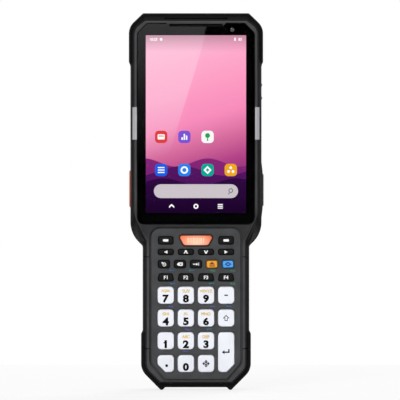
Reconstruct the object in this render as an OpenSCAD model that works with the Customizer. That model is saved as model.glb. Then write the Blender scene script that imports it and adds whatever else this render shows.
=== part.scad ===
// Portable barcode data terminal: a rugged handheld computer with a screen head, a keypad grip,
// a tilting battery pack and a scan window in its top end. It stands on the two feet of its lower
// guard. Inside the modules x is across, y is up along the terminal and z is towards the user;
// stand() turns that frame so that +Z is up and the screen faces -Y.

/* [Housing] */
// Depth of the screen head from the front ridge to the back
head_depth = 34; // [32:0.5:38]
// Depth of the grip from the front ridge to the back
grip_depth = 27.5; // [26.5:0.5:29]
// Width of the rim between the cover glass and the side wall of the head
side_rim = 3.67; // [3.6:0.01:5]
// Height of the rim above the cover glass
top_rim = 5.4; // [5.2:0.1:7]
// Width of the rim between the keypad bezel and the side wall of the grip
grip_rim = 4.5; // [4.2:0.1:6]

/* [Guards and feet] */
// Thickness of the rubber corner guards
guard_t = 1.5; // [1:0.1:2]
// How far the upper guard stands out from each side of the head
guard_proud = 0.83; // [0.4:0.05:1]
// Length of the upper guard down each side
upper_guard_l = 28; // [24:0.5:32]
// Height at which the lower guard ends
lower_guard_y = 31.9; // [28:0.5:36]
// Distance of each foot from the middle
foot_x = 18.95; // [17:0.5:20]
// Height of the feet below the bottom edge
foot_h = 1.4; // [1:0.1:2]

/* [Screen] */
// Width of the lit picture
picture_w = 53.6; // [50:0.2:58]
// Height of the lit picture
picture_h = 95; // [88:0.5:104]
// Width of the cover glass beside the picture
side_border = 4.6; // [4:0.1:6]
// Height of the cover glass below the picture
lower_border = 6.1; // [4:0.1:9]
// Height of the cover glass above the picture
upper_border = 6.5; // [6:0.1:8]
// Thickness of the cover glass
glass_t = 1.8; // [1.2:0.1:2]
// Thickness of the display module
display_t = 1.75; // [1.4:0.05:1.8]

/* [Keypad] */
// Distance between the columns of the number keys
column_pitch = 10.76; // [10.5:0.02:11]
// Distance between the rows of the number keys
row_pitch = 12.17; // [12:0.01:12.3]
// Width of a number key
number_w = 8.8; // [8:0.1:9]
// Height of a number key
number_h = 9.2; // [8.4:0.1:9.6]
// Height of a function key
function_h = 4; // [3.4:0.1:4.4]
// Distance between the keys of the row of five
five_pitch = 8.56; // [8.2:0.02:8.8]
// Width of a key of the row of five
five_w = 6.25; // [5.5:0.05:6.4]
// Height of an arrow key
arrow_h = 3; // [2.6:0.1:3.4]
// Thickness of the keypad bezel
bezel_t = 1.7; // [1.5:0.1:2]
// How far the keys stand out of the bezel
key_proud = 1.3; // [0.8:0.1:1.4]
// Travel of a key
key_travel = 0.6; // [0.3:0.05:0.7]

/* [Side controls] */
// Length of the left scan button
scan_button_l = 20.2; // [16:0.2:22]
// Length of the right side button
side_button_l = 18; // [14:0.5:19]
// Width of both side buttons
side_button_w = 7.6; // [6:0.2:8]
// Travel of the side buttons
button_travel = 0.8; // [0.4:0.1:0.8]
// Length of the volume rocker
rocker_l = 11; // [9:0.5:12]
// Length of the cover over the side port
port_cover_l = 17; // [15:0.5:18]

/* [Battery and back] */
// Width of the battery pack
pack_w = 43.6; // [40:0.2:44]
// Length of the battery pack
pack_l = 94.1; // [86:0.1:96]
// Height of the axis about which the pack tilts
tilt_y = 21; // [20:0.5:23]
// Travel of the battery lock
lock_travel = 4; // [3:0.5:4]
// Distance between the two threaded inserts for a strap bracket
insert_pitch = 40; // [34:1:42]
// Thread core radius of the inserts
insert_bore_r = 1.25; // [1:0.05:1.5]

/* [Walls and fits] */
// Thickness of the housing walls
wall = 2; // [1.8:0.1:2.2]
// Clearance round the keys and the side buttons
key_gap = 0.2; // [0.15:0.05:0.25]
// Clearance of a fixed piece in its seat
seat_gap = 0.1; // [0.05:0.05:0.15]
// Radial clearance of pins and trunnions
pin_gap = 0.05; // [0.02:0.01:0.1]

/* [Hidden] */

$fn = 48;
eps = 0.01;
through = 60;
corner_k = tan(22.5);

// Depths of the front, measured from the middle plane of the head
front_z = head_depth / 2;
head_back_z = front_z - head_depth;
grip_back_z = front_z - grip_depth;
split_z = -2;
ledge_z = front_z - 6;
guard_front_z = ledge_z + 0.8;
guard_back_z = head_back_z + 1.5;
slope_z = front_z - 0.7;
parting = 0.3;
glass_z = front_z - 0.75;
glass_floor_z = glass_z - glass_t - seat_gap;
display_z = glass_floor_z - display_t;
chassis_t = 1.6;
plate_z = front_z - 4.6;
chassis_z = min(display_z, plate_z) - seat_gap - chassis_t;
board_t = 1.2;
can_h = 1.2;
board_z = chassis_z - seat_gap - can_h - board_t;

// Rows of the keypad, from the lowest up, and the bezel round them
bottom_y = foot_h;
bezel_y0 = bottom_y + 4.3;
bezel_margin = 3.9;
row_gap = 2.9;
five_gap = 3;
five_h = 4.2;
scan_gap = 1.65;
scan_h = 6.1;
bezel_top_margin = 3.34;
bezel_side_margin = 3.46;
row_0 = bezel_y0 + bezel_margin + number_h / 2;
row_1 = row_0 + row_pitch;
row_4 = row_1 + row_pitch;
row_7 = row_4 + row_pitch;
row_f = row_7 + number_h / 2 + row_gap + function_h / 2;
row_five = row_f + function_h / 2 + five_gap + five_h / 2;
row_arrow = row_five + five_h / 2 + row_gap + arrow_h / 2;
row_soft = row_arrow + arrow_h / 2 + scan_gap + scan_h / 2;
outer_x = 1.5 * column_pitch;
inner_x = column_pitch / 2;
bezel_x = outer_x + number_w / 2 + bezel_side_margin;
bezel_y1 = row_soft + scan_h / 2 + bezel_top_margin;
bezel_cut_w = 7.5;
bezel_cut_h = 8.9;

// Screen above the keypad, and its glass
glass_y0 = bezel_y1 + 2.1;
picture_y0 = glass_y0 + lower_border;
picture_y1 = picture_y0 + picture_h;
picture_mid_y = (picture_y0 + picture_y1) / 2;
glass_y1 = picture_y1 + upper_border;
glass_x = picture_w / 2 + side_border;
glass_cut = 5.3;
display_w = picture_w + 2.8;
display_h = picture_h + 2.4;

// Outline of the whole terminal
overall_h = glass_y1 + top_rim;
head_x = glass_x + side_rim;
grip_x = bezel_x + grip_rim;
waist_y = glass_y0 - 11.5;
shoulder_y = glass_y0 - 4.9;
upper_guard_y = overall_h - upper_guard_l;
foot_flat = 1.1;
foot_w = 2.55;
lower_proud = 0.86;
lower_chamfer_y = bottom_y + 9.1;
guard_step = 1.9;
upper_x = head_x + guard_proud;
lower_x = grip_x + lower_proud;
top_chamfer = 7.6;
top_corner_y = overall_h - 7.3;
base_corner_x = foot_x + bottom_y;
shoulder_rise = 9;
waist_rise = 2;
top_drop = 1.2;
notch_x = 13.1;
notch_w = 1.7;
grip_line_y = [bottom_y + 20.7, waist_y - 5.8];
grip_line_w = 0.44;

// Rim round the front: how far in, depth, and share of the lift of shoulders and top edge
RIM = [[0.8, ledge_z + 0.8, 0], [1.6, front_z - 2.8, 0.6], [2.15, slope_z, 1], [2.5, slope_z + 0.5, 1],
    [3, front_z, 1]];

// Seal between the housings
seal_t = 0.8;
seal_in = 1.1;

// Keypad stack
bezel_z = front_z - 1.4;
bezel_under_z = bezel_z - bezel_t;
bezel_rim = 0.8;
bezel_rim_t = 0.7;
key_top_z = bezel_z + key_proud;
flange_t = 0.8;
flange_w = 0.5;
flange_top_z = bezel_under_z - seat_gap;
flange_z = flange_top_z - flange_t;
rubber_t = 0.8;
rubber_top_z = min(plate_z - seat_gap, flange_z - key_travel - 0.15);
rubber_z = rubber_top_z - rubber_t;
keypad_board_t = 1;
keypad_board_z = rubber_z - seat_gap - keypad_board_t;
soft_w = 8;
soft_h = 4.2;
arrow_w = 8.3;
scan_top_w = 20.1;
scan_bottom_w = 13.7;
key_cut = 4.2;

// Rounded edge of a key cap: how far in and how far below its top
KEY_CROWN = [[0, 0.8], [0.08, 0.45], [0.28, 0.18], [0.75, 0]];

// Battery, its bay and its lock
tilt_r = 3.7;
tilt_z = grip_back_z + 4.5;
tilt_range = 35;
bay_gap = 0.3;
bay_wall = 1.5;
bay_floor_z = split_z + 3.5;
pack_y0 = tilt_y - tilt_r;
pack_y1 = pack_y0 + pack_l;
pack_in_z = bay_floor_z - bay_gap;
pack_back_z = grip_back_z - 1;
bay_x = pack_w / 2 + 0.2;
bay_y0 = pack_y0 - bay_gap;
bay_y1 = pack_y1 + 2 * bay_gap;
trunnion_r = 1.6;
trunnion_l = 1;
trunnion_in_x = pack_w / 2 - 1;
trunnion_way = 0.9;
finger_w = 18;
finger_y = pack_y1 - 11;
finger_pitch = 2.2;
lock_w = 14;
lock_stem_w = 11;
lock_h = 4;
lock_t = 1;
lock_gap = 0.3;
lock_lip = 0.9;
lock_z = grip_back_z + lock_lip;
lock_y0 = bay_y1 + bay_wall + lock_travel;
knob_t = 1.4;
knob_z = pack_back_z - lock_gap;
knob_y0 = bay_y1 + 0.4;
knob_y1 = lock_y0 + lock_h;
knob_rib_h = 0.6;
knob_rib_w = 0.8;
knob_rib_pitch = 1.8;
bulge_y = knob_y1 + 1.6;
bulge_slope = 8;

// Screws and their bosses
boss_r = 2.6;
head_screw_x = head_x - wall - boss_r - 1.97;
head_screw_y = [bulge_y + bulge_slope + 5.9, upper_guard_y + 8.5];
foot_screw_x = foot_x - 1.45;
foot_screw_y = bottom_y + 8.2;
screw_r = 1;
screw_head_r = 2.1;
screw_head_h = 1.5;
screw_seat_r = 2.25;
SCREWS = [for (s = [-1, 1]) each [
    [s * head_screw_x, head_screw_y[0], head_back_z], [s * head_screw_x, head_screw_y[1], head_back_z],
    [s * foot_screw_x, foot_screw_y, grip_back_z]]];

// Side controls
button_z = split_z + 7;
scan_button_y = shoulder_y + 24;
side_button_y = shoulder_y + 23.4;
scan_button_proud = 0.65;
side_button_proud = 1.15;
pad_proud = 0.6;
pad_ramp = 5;
pad_y0 = side_button_y - side_button_l / 2 - 1;
pad_y1 = side_button_y + side_button_l / 2 + 1;
button_flange_t = 1;
button_flange_w = 0.8;
rocker_y = overall_h - 41.8;
rocker_w = 6;
rocker_r = 0.9;
rocker_t = 1.25;
rocker_x = head_x - rocker_t - 0.5;
rocker_axle_l = 1;
rocker_block_l = 5.2;
bump_r = 1;
bump_spread = 3.5;
bump_proud = 0.4;
port_y = overall_h - 40.5;
port_z0 = board_z - 5.5;
port_h = 4.5;
port_w = 9.6;
port_l = 7.6;
port_wall = 0.5;
knuckle_r = 0.85;
hinge_z = split_z + 2.7;
hinge_x = head_x - knuckle_r - 0.15;
pin_r = 0.5;
pin_end = 1.9;
cover_h = 8.7;
cover_top_z = hinge_z + cover_h;
cover_t = 1.3;
plug_w = 11;
plug_gap = 0.4;
plug_z = [hinge_z + 3.2, cover_top_z - 2];

// Top end and back
window_x = 14;
window_z0 = head_back_z + 3.8;
window_z1 = split_z - 1.4;
window_z = (window_z0 + window_z1) / 2;
window_t = 1.1;
window_lap = 1.4;
core_top_y = overall_h - guard_t;
engine_w = 22;
engine_h = 10.3;
engine_y1 = core_top_y - 5.2;
engine_y0 = engine_y1 - engine_h;
lens_x = [-6, 5];
lens_r = 2.9;
lens_l = 2.2;
lens_wall = 0.8;
camera_y = overall_h - 23.5;
camera_r = 4.2;
camera_l = 4;
camera_plate_z = head_back_z + 2.2;
camera_plate_h = 10;
camera_plate_t = 1.2;
camera_box_t = 3.6;
flash_x = camera_r + 6.3;
flash_r = 1.7;
flash_margin = 1.3;
speaker_y = bulge_y + bulge_slope + 9.9;
speaker_w = 18;
speaker_h = 12;
speaker_t = 3.4;
speaker_slot_l = 14;
speaker_slot_w = 1.2;
speaker_slot_pitch = 2.2;
rail_w = 1.4;
rail_gap = 0.2;
skin = 1.6;
insert_y = speaker_y + 11;
insert_r = 2.2;
insert_l = 5;
insert_wall = 1.6;
front_camera_x = glass_x - 12;
front_camera_y = glass_y1 - 3.5;
front_camera_r = 1.4;
guide_l = 17.4;
guide_y1 = rocker_y - 8.5;
guide_y0 = guide_y1 - guide_l;
guide_in_x = head_x - 3.45;
guide_out_x = head_x - RIM[0][0];
guide_z = plate_z + 0.4;
guide_foot_x = head_x - lookup(guide_z, [for (r = RIM) [r[1], r[0]]]);
earpiece_x = 14.5;
earpiece_y = glass_y1 - 1.6;
earpiece_h = 1.3;
slot_x = 16.8;
slot_y = overall_h - 3.3;
slot_h = 0.9;

// Main board and its shielded parts
board_x = head_x - wall - seat_gap - button_flange_t - button_travel - 1.67;
board_h = display_h - 14;
board_y = picture_mid_y - 4;
can_w = 18;
left_can_h = 16;
right_can_h = 20;
can_gap = 6;
left_can_y = [for (k = [-1:1]) board_y + k * board_h / 3];
right_can_y = [for (k = [-1, 1]) board_y + k * board_h / 5];

// Contacts
contact_r = 0.8;
contact_pitch = 3;
contact_z = 3;
battery_contact_r = 0.6;
battery_contact_y = bay_y0 + 9;
battery_contact_x = [-6, -2, 2, 6];
contact_l = 4;
contact_slot_h = 5;

// ---- Outlines and lofts ----

function xy(c) = [c[0], c[1]];
function unit(v) = v / norm(v);
function turned(v, t) = [v[0] * cos(t) - v[1] * sin(t), v[0] * sin(t) + v[1] * cos(t)];
function steps(r) = r > 5 ? 9 : r > 1.8 ? 5 : 3;

// The points of one corner [x, y, radius] between its two neighbours, moved in by d
function corner(before, c, after, d) =
    let (a = unit(xy(c) - xy(before)), b = unit(xy(after) - xy(c)),
        na = [-a[1], a[0]], nb = [-b[1], b[0]],
        mitre = (na + nb) / (1 + na * nb),
        turn = atan2(a[0] * b[1] - a[1] * b[0], a * b), s = sign(turn),
        r = max(c[2] - s * d, 0.15), n = steps(c[2]), q = xy(c) + d * mitre)
    c[2] == 0 ? [q] : [for (k = [0:n]) q + s * r * mitre - s * r * turned(na, turn * k / n)];

// A closed outline through rounded corners, moved in by d
function outline(c, d = 0) =
    [for (i = [0:len(c) - 1]) each corner(c[(i + len(c) - 1) % len(c)], c[i], c[(i + 1) % len(c)], d)];

// A symmetric outline from the corners of its right side, listed upwards
function both_sides(c) = concat(c, [for (i = [len(c) - 1:-1:0]) [-c[i][0], c[i][1], c[i][2]]]);

// The corners of a rectangle with equal rounding
function rectangle(x, y, w, h, r) = [[x - w / 2, y - h / 2, r], [x + w / 2, y - h / 2, r],
    [x + w / 2, y + h / 2, r], [x - w / 2, y + h / 2, r]];

// A solid through outlines of equally many points, each given as [z, points], listed by rising z.
// The end faces of a symmetric outline are strips from side to side, so that it may be hollow-sided.
module loft(rings, symmetric = false) {
    n = len(rings[0][1]);
    m = len(rings);
    top = (m - 1) * n;
    polyhedron(
        points = [for (r = rings) each [for (p = r[1]) [p[0], p[1], r[0]]]],
        faces = [
            if (!symmetric) [for (i = [0:n - 1]) i],
            if (!symmetric) [for (i = [n - 1:-1:0]) top + i],
            if (symmetric) for (i = [0:n / 2 - 2]) [i, i + 1, n - 2 - i, n - 1 - i],
            if (symmetric) for (i = [0:n / 2 - 2]) [top + n - 1 - i, top + n - 2 - i, top + i + 1, top + i],
            for (j = [0:m - 2], i = [0:n - 1])
                [j * n + i, (j + 1) * n + i, (j + 1) * n + (i + 1) % n, j * n + (i + 1) % n]],
        convexity = 6);
}

module slab(z0, z1, points) translate([0, 0, z0]) linear_extrude(z1 - z0) polygon(points);

module block(x, y, z) translate([x[0], y[0], z[0]]) cube([x[1] - x[0], y[1] - y[0], z[1] - z[0]]);

module rod(x, y, z0, z1, r) translate([x, y, z0]) cylinder(h = z1 - z0, r = r);

// A rod along y about the point (x, y, z)
module up_rod(x, y, z, l, r) translate([x, y, z]) rotate([90, 0, 0])
    cylinder(h = l, r = r, center = true, $fn = 32);

module stand() rotate([90, 0, 0]) children();

// Right side of the housing, let in by relief where the guards cover it. As lift goes from 0 to 1
// the shoulders move up and the top edge moves down, as they do between the side wall and the ridge.
function housing_side(relief, lift) = [
    [base_corner_x - corner_k * relief, bottom_y + relief, 1.7],
    [lower_x - relief, lower_chamfer_y + corner_k * relief, 9],
    [lower_x - relief, lower_guard_y - guard_step, 0],
    [grip_x, lower_guard_y, 0],
    [grip_x, waist_y + lift * waist_rise, 2.5],
    [head_x, shoulder_y + lift * shoulder_rise, 15],
    [head_x, upper_guard_y, 0],
    [upper_x - relief, upper_guard_y + guard_step, 0],
    [upper_x - relief, top_corner_y - corner_k * relief, 8.4],
    [upper_x - top_chamfer - corner_k * relief, overall_h - relief - lift * top_drop, 0.8]];

function housing(relief, lift = 0, d = 0) = outline(both_sides(housing_side(relief, lift)), d);

// ---- Housings, seal and screws ----

module front_form() loft([
    [split_z, housing(guard_t, 0, parting)],
    [split_z + parting, housing(guard_t)],
    [ledge_z, housing(guard_t)],
    for (r = RIM) [r[1], housing(guard_proud, r[2], r[0])]], true);

function glass_corners() = both_sides([
    [glass_x, glass_y0, 3.7],
    [glass_x, glass_y1 - glass_cut, 2.5],
    [glass_x - glass_cut, glass_y1, 1.5]]);

// Notch of the glass for the earpiece, drawn out past its upper edge
function earpiece_notch() = let (flare = glass_y1 + 2.4 - earpiece_y) [
    [-earpiece_x, earpiece_y], [earpiece_x, earpiece_y],
    [earpiece_x + flare, earpiece_y + flare], [-earpiece_x - flare, earpiece_y + flare]];

function bezel_corners() = both_sides([
    [bezel_x - bezel_cut_w, bezel_y0, 2],
    [bezel_x, bezel_y0 + bezel_cut_h, 4],
    [bezel_x, bezel_y1, 4.8]]);

// Pill-shaped hole or button in a side wall, of exact flat and round faces
module side_pill(x0, x1, y, z, l, w) {
    block([x0, x1], [y - (l - w) / 2, y + (l - w) / 2], [z - w / 2, z + w / 2]);
    for (s = [-1, 1]) translate([x0, y + s * (l - w) / 2, z]) rotate([0, 90, 0])
        cylinder(h = x1 - x0, d = w);
}

module front_housing() color([0.2, 0.2, 0.2]) stand() difference() {
    union() {
        difference() {
            union() {
                front_form();
                // Raised pad under the right side button
                slab(button_z - 5, button_z + 5, [
                    [head_x - 1, pad_y0 - pad_ramp], [head_x, pad_y0 - pad_ramp],
                    [head_x + pad_proud, pad_y0], [head_x + pad_proud, pad_y1],
                    [head_x, pad_y1 + pad_ramp], [head_x - 1, pad_y1 + pad_ramp]]);
            }
            slab(split_z - 1, plate_z, housing(guard_t, 0, wall));
        }
        // Screw bosses
        for (s = SCREWS) rod(s[0], s[1], split_z, plate_z + eps, boss_r);
        // Bearing block of the volume rocker
        block([rocker_x - 2 * rocker_r, head_x - wall / 2],
            [rocker_y - rocker_block_l / 2, rocker_y + rocker_block_l / 2],
            [button_z - rocker_w / 2 - 1.6 * rocker_axle_l, button_z + rocker_w / 2 + 1.6 * rocker_axle_l]);
    }
    // Screen: seat of the glass, well of the display, hole of the camera
    difference() {
        slab(glass_floor_z, front_z + 1, outline(glass_corners(), -0.15));
        translate([0, 0.15, 0]) slab(0, through, earpiece_notch());
    }
    slab(plate_z - 1, front_z, outline(rectangle(0, picture_mid_y, display_w + 3 * seat_gap,
        display_h + 3 * seat_gap, 1.2)));
    rod(front_camera_x, front_camera_y, plate_z - 1, front_z, front_camera_r + seat_gap);
    // Earpiece slot between the glass and the ridge, and the slot before the scan window
    block([-earpiece_x, earpiece_x], [earpiece_y - 0.2, earpiece_y + earpiece_h],
        [glass_floor_z - 0.6, front_z + 1]);
    block([-slot_x, slot_x], [slot_y - 0.1, slot_y + slot_h], [ledge_z - 1, front_z + 1]);
    // Keypad: seat of the bezel and opening for the keys
    slab(bezel_under_z, front_z + 1, outline(bezel_corners(), -bezel_rim - seat_gap));
    slab(plate_z - 1, front_z, outline(bezel_corners(), 0.7));
    // Light guides
    for (s = [-1, 1]) scale([s, 1, 1])
        block([guide_in_x, guide_out_x], [guide_y0, guide_y1], [guide_z, front_z + 1]);
    // Notches in the lower front edge
    for (s = [-1, 1]) translate([s * notch_x, 0, 0])
        block([-notch_w / 2, notch_w / 2], [0, bezel_y0 - bezel_rim - 0.4], [front_z - 3.6, front_z + 1]);
    // Joint lines of the side grips
    for (s = [-1, 1], y = grip_line_y) scale([s, 1, 1]) block([grip_x - 3.7, grip_x + 1],
        [y - grip_line_w / 2, y + grip_line_w / 2], [ledge_z - 4, front_z + 1]);
    // Screw bores
    for (s = SCREWS) rod(s[0], s[1], split_z - 1, split_z + 9, screw_r + 0.02);
    // Left scan button and right side button
    side_pill(-head_x - 1, -head_x + wall + 1, scan_button_y, button_z,
        scan_button_l + 2 * key_gap, side_button_w + 2 * key_gap);
    side_pill(head_x - wall - 1, head_x + 2, side_button_y, button_z,
        side_button_l + 2 * key_gap, side_button_w + 2 * key_gap);
    // Volume rocker: window and round seats
    block([rocker_x - rocker_r - 0.5, head_x + 1],
        [rocker_y - rocker_l / 2 - key_gap, rocker_y + rocker_l / 2 + key_gap],
        [button_z - rocker_w / 2 - key_gap, button_z + rocker_w / 2 + key_gap]);
    rod(rocker_x, rocker_y, button_z - rocker_w / 2 - rocker_axle_l - seat_gap,
        button_z + rocker_w / 2 + rocker_axle_l + seat_gap, rocker_r + pin_gap);
    // Side port: recess of the cover, bore of its pin, way to the socket
    block([-head_x - 1, -hinge_x + knuckle_r + key_gap],
        [port_y - port_cover_l / 2 - key_gap, port_y + port_cover_l / 2 + key_gap],
        [hinge_z - 2 * knuckle_r, cover_top_z + key_gap]);
    block([-head_x - 1, -head_x + wall + 2], [port_y - plug_w / 2 - plug_gap, port_y + plug_w / 2 + plug_gap],
        [plug_z[0] - 0.9, plug_z[1] + 1.1]);
    up_rod(-hinge_x, port_y, hinge_z, port_cover_l + 2 * pin_end + 2 * seat_gap, pin_r + pin_gap);
    // Contacts in the lower end
    for (k = [-3:3]) up_rod(k * contact_pitch, bottom_y, contact_z, 4 * contact_l, contact_r + 0.02);
}

// The seal lies in a rebate at the inner edge of the back housing and the front housing closes on it
module housing_seal() color([0.15, 0.15, 0.16]) stand() difference() {
    slab(split_z - seal_t + 0.05, split_z - 0.03, housing(guard_t, 0, seal_in + 0.05));
    slab(split_z - 2, split_z + 1, housing(guard_t, 0, wall + 0.9));
}

// Back of the head, whose lower edge rises by lift
function head_back(lift, d) = outline(both_sides([
    [head_x, bulge_y + lift, 4],
    [head_x, upper_guard_y, 0],
    [upper_x - guard_t, upper_guard_y + guard_step, 0],
    [upper_x - guard_t, top_corner_y - corner_k * guard_t, 8.4],
    [upper_x - top_chamfer - corner_k * guard_t, core_top_y, 0.8]]), d);

module back_form() union() {
    loft([
        [grip_back_z, housing(guard_t, 0, 2.6)],
        [grip_back_z + 0.8, housing(guard_t, 0, 1)],
        [grip_back_z + 2.6, housing(guard_t)],
        [split_z - parting, housing(guard_t)],
        [split_z, housing(guard_t, 0, parting)]], true);
    loft([
        [head_back_z, head_back(bulge_slope + 1.5, 2.4)],
        [head_back_z + 0.8, head_back(bulge_slope, 0.9)],
        [head_back_z + 2.4, head_back(bulge_slope * 0.72, 0)],
        [grip_back_z + 2, head_back(0, 0)],
        [split_z - 1, head_back(0, 0)]], true);
}

module trunnions(gap, l) for (s = [-1, 1]) translate([s * trunnion_in_x, tilt_y, tilt_z])
    rotate([0, s * 90, 0]) cylinder(h = pack_w / 2 - trunnion_in_x + l, r = trunnion_r + gap);

module back_housing() color([0.12, 0.12, 0.12]) stand() difference() {
    union() {
        difference() {
            back_form();
            slab(grip_back_z + skin, split_z + 1, housing(guard_t, 0, wall + 1));
            slab(head_back_z + skin, split_z + 1, outline(both_sides([
                [head_x - 1.5 * wall, bulge_y + bulge_slope + 1.5 * wall, 4],
                [head_x - 1.5 * wall, top_corner_y - 2 * wall, 5],
                [upper_x - top_chamfer - 1.5 * wall, core_top_y - wall, 0.8]])));
        }
        // Battery bay
        block([-bay_x - bay_wall, bay_x + bay_wall], [bay_y0 - bay_wall, bay_y1 + bay_wall],
            [grip_back_z + 0.4, bay_floor_z + bay_wall]);
        // Floor of the lock's guide
        block([-lock_w / 2 - bay_wall, lock_w / 2 + bay_wall], [bay_y1, knob_y1 + bay_wall],
            [grip_back_z + skin / 2, lock_z + lock_t + bay_wall]);
        // Posts of the screws and of the threaded inserts
        for (s = SCREWS) rod(s[0], s[1], s[2] + 1, split_z, boss_r);
        for (s = [-1, 1]) rod(s * insert_pitch / 2, insert_y, head_back_z + 1, head_back_z + insert_l + 2,
            insert_r + insert_wall);
        // Shelf of the scan engine and rails of the speaker
        block([-engine_w / 2 - 1.5, engine_w / 2 + 1.5], [engine_y0 - 0.5, engine_y1 + 1.7],
            [head_back_z + 1, window_z0 + 0.4]);
        for (s = [-1, 1]) translate([s * (speaker_w / 2 + rail_gap + rail_w / 2), 0, 0])
            block([-rail_w / 2, rail_w / 2], [speaker_y - speaker_h / 2, speaker_y + speaker_h / 2],
                [head_back_z + 1, head_back_z + skin + speaker_t - 0.4]);
    }
    // Room for the pack, its trunnions and its swing out of the bay
    block([-bay_x, bay_x], [bay_y0, bay_y1], [-through, bay_floor_z]);
    trunnions(pin_gap, trunnion_l + key_gap);
    // Way in for the trunnions
    for (s = [-1, 1]) scale([s, 1, 1]) block([trunnion_in_x, pack_w / 2 + trunnion_l + key_gap],
        [tilt_y - trunnion_way, tilt_y + trunnion_way], [-through, tilt_z]);
    // Lock: guide of its slider behind two lips, and the slot between them
    block([-lock_w / 2 - key_gap, lock_w / 2 + key_gap], [lock_y0 - lock_travel - key_gap, knob_y1 + key_gap],
        [lock_z - seat_gap, lock_z + lock_t + seat_gap]);
    block([-lock_stem_w / 2 - key_gap, lock_stem_w / 2 + key_gap],
        [lock_y0 - lock_travel - key_gap, knob_y1 + key_gap], [-through, lock_z + lock_t]);
    // Screw bores and their counterbores
    for (s = SCREWS) {
        rod(s[0], s[1], s[2] - 1, split_z + 1, screw_r + 0.2);
        rod(s[0], s[1], s[2] - 1, s[2] + 1 + screw_head_h, screw_seat_r);
    }
    // Threaded inserts
    for (s = [-1, 1]) rod(s * insert_pitch / 2, insert_y, head_back_z - 1, head_back_z + insert_l + seat_gap,
        insert_r + 0.02);
    // Camera, flash and slots of the speaker
    rod(0, camera_y, head_back_z - 1, head_back_z + 3, camera_r + seat_gap);
    rod(flash_x, camera_y, head_back_z - 1, head_back_z + 3, flash_r + seat_gap);
    for (k = [-2:2]) translate([0, speaker_y + k * speaker_slot_pitch, 0])
        block([-speaker_slot_l / 2, speaker_slot_l / 2], [-speaker_slot_w / 2, speaker_slot_w / 2],
            [head_back_z - 1, head_back_z + skin + 1]);
    // Scan window in the top end
    block([-window_x - seat_gap, window_x + seat_gap], [core_top_y - window_t - seat_gap, core_top_y + 3],
        [window_z0 - seat_gap, window_z1 + seat_gap]);
    block([-window_x + window_lap, window_x - window_lap], [core_top_y - 2 * wall, core_top_y + 1],
        [window_z0 + window_lap, window_z1 - window_lap]);
    // Battery contacts
    for (x = battery_contact_x) rod(x, battery_contact_y, pack_in_z, bay_floor_z + bay_wall + 1,
        battery_contact_r + 0.03);
    difference() {
        slab(split_z - seal_t, split_z + 1, housing(guard_t, 0, seal_in));
        slab(split_z - seal_t - 1, split_z + 2, housing(guard_t, 0, wall + 1));
    }
}

module housing_screws() color("dimgray") stand() for (s = SCREWS) difference() {
    union() {
        rod(s[0], s[1], s[2] + 1, s[2] + 1 + screw_head_h, screw_head_r);
        rod(s[0], s[1], s[2] + 1, split_z + 8, screw_r);
    }
    translate([s[0], s[1], s[2] + 0.5]) cylinder(h = 1.3, r = 1, $fn = 6);
}

// ---- Guards ----

module upper_guard() color([0.06, 0.06, 0.06]) stand() difference() {
    loft([for (r = [[guard_back_z, 1], [guard_back_z + 1, 0], [ledge_z, 0], [guard_front_z, 0.8]])
        [r[0], outline(both_sides([
            [head_x, upper_guard_y, 0],
            [upper_x, upper_guard_y + guard_step, 0],
            [upper_x, top_corner_y, 8.4],
            [upper_x - top_chamfer, overall_h, 0.8]]), r[1])]], true);
    slab(-through, through, housing(guard_t));
    block([-through, through], [0, upper_guard_y + eps], [-through, through]);
    // Opening of the scan window
    block([-window_x - 1, window_x + 1], [core_top_y - 1, overall_h + 1], [window_z0 - 0.8, window_z1 + 0.8]);
}

module lower_guard() color([0.06, 0.06, 0.06]) stand() difference() {
    union() {
        loft([for (r = [[grip_back_z + 1.4, 0.8], [grip_back_z + 2.4, 0], [ledge_z, 0], [guard_front_z, 0.8]])
            [r[0], outline(both_sides([
                [base_corner_x, bottom_y, 1],
                [lower_x, lower_chamfer_y, 9],
                [lower_x, lower_guard_y - guard_step, 0],
                [grip_x, lower_guard_y, 0]]), r[1])]], true);
        // Feet
        for (s = [-1, 1]) scale([s, 1, 1]) slab(grip_back_z + 2.4, ledge_z, outline([
            [foot_x, 0, 0.3], [base_corner_x + 0.6, bottom_y + 0.6, 0], [foot_x - foot_w, bottom_y + 0.6, 0],
            [foot_x - foot_w, bottom_y, 0], [foot_x - foot_flat, 0, 0.3]]));
    }
    slab(-through, through, housing(guard_t));
    block([-through, through], [lower_guard_y - eps, lower_guard_y + 9], [-through, through]);
    // Opening of the contacts
    block([-3 * contact_pitch - contact_slot_h / 2 - 0.7, 3 * contact_pitch + contact_slot_h / 2 + 0.7],
        [0, bottom_y + 2 * guard_t], [contact_z - contact_slot_h / 2, contact_z + contact_slot_h / 2]);
}

// ---- Screen ----

module touch_glass() color([0.05, 0.05, 0.06]) stand() difference() {
    loft([
        [glass_z - glass_t, outline(glass_corners())],
        [glass_z - 0.25, outline(glass_corners())],
        [glass_z, outline(glass_corners(), 0.25)]], true);
    slab(glass_z - glass_t - 1, glass_z + 1, earpiece_notch());
}

module display_panel() color([0.8, 0.3, 0.6]) stand()
    slab(display_z, glass_floor_z, outline(rectangle(0, picture_mid_y, display_w, display_h, 1)));

module chassis_frame() color("silver") stand() difference() {
    slab(chassis_z, chassis_z + chassis_t,
        outline(rectangle(0, picture_mid_y + 0.5, 2 * (head_x - wall - 1), display_h - 4, 3)));
    for (s = SCREWS) rod(s[0], s[1], 0, through, boss_r + 2 * seat_gap);
    for (x = [-1, 1], y = [-1, 1]) slab(0, through,
        outline(rectangle(x * picture_w / 4, picture_mid_y - 10 + y * picture_h / 7, 16, 18, 3)));
}

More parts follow.
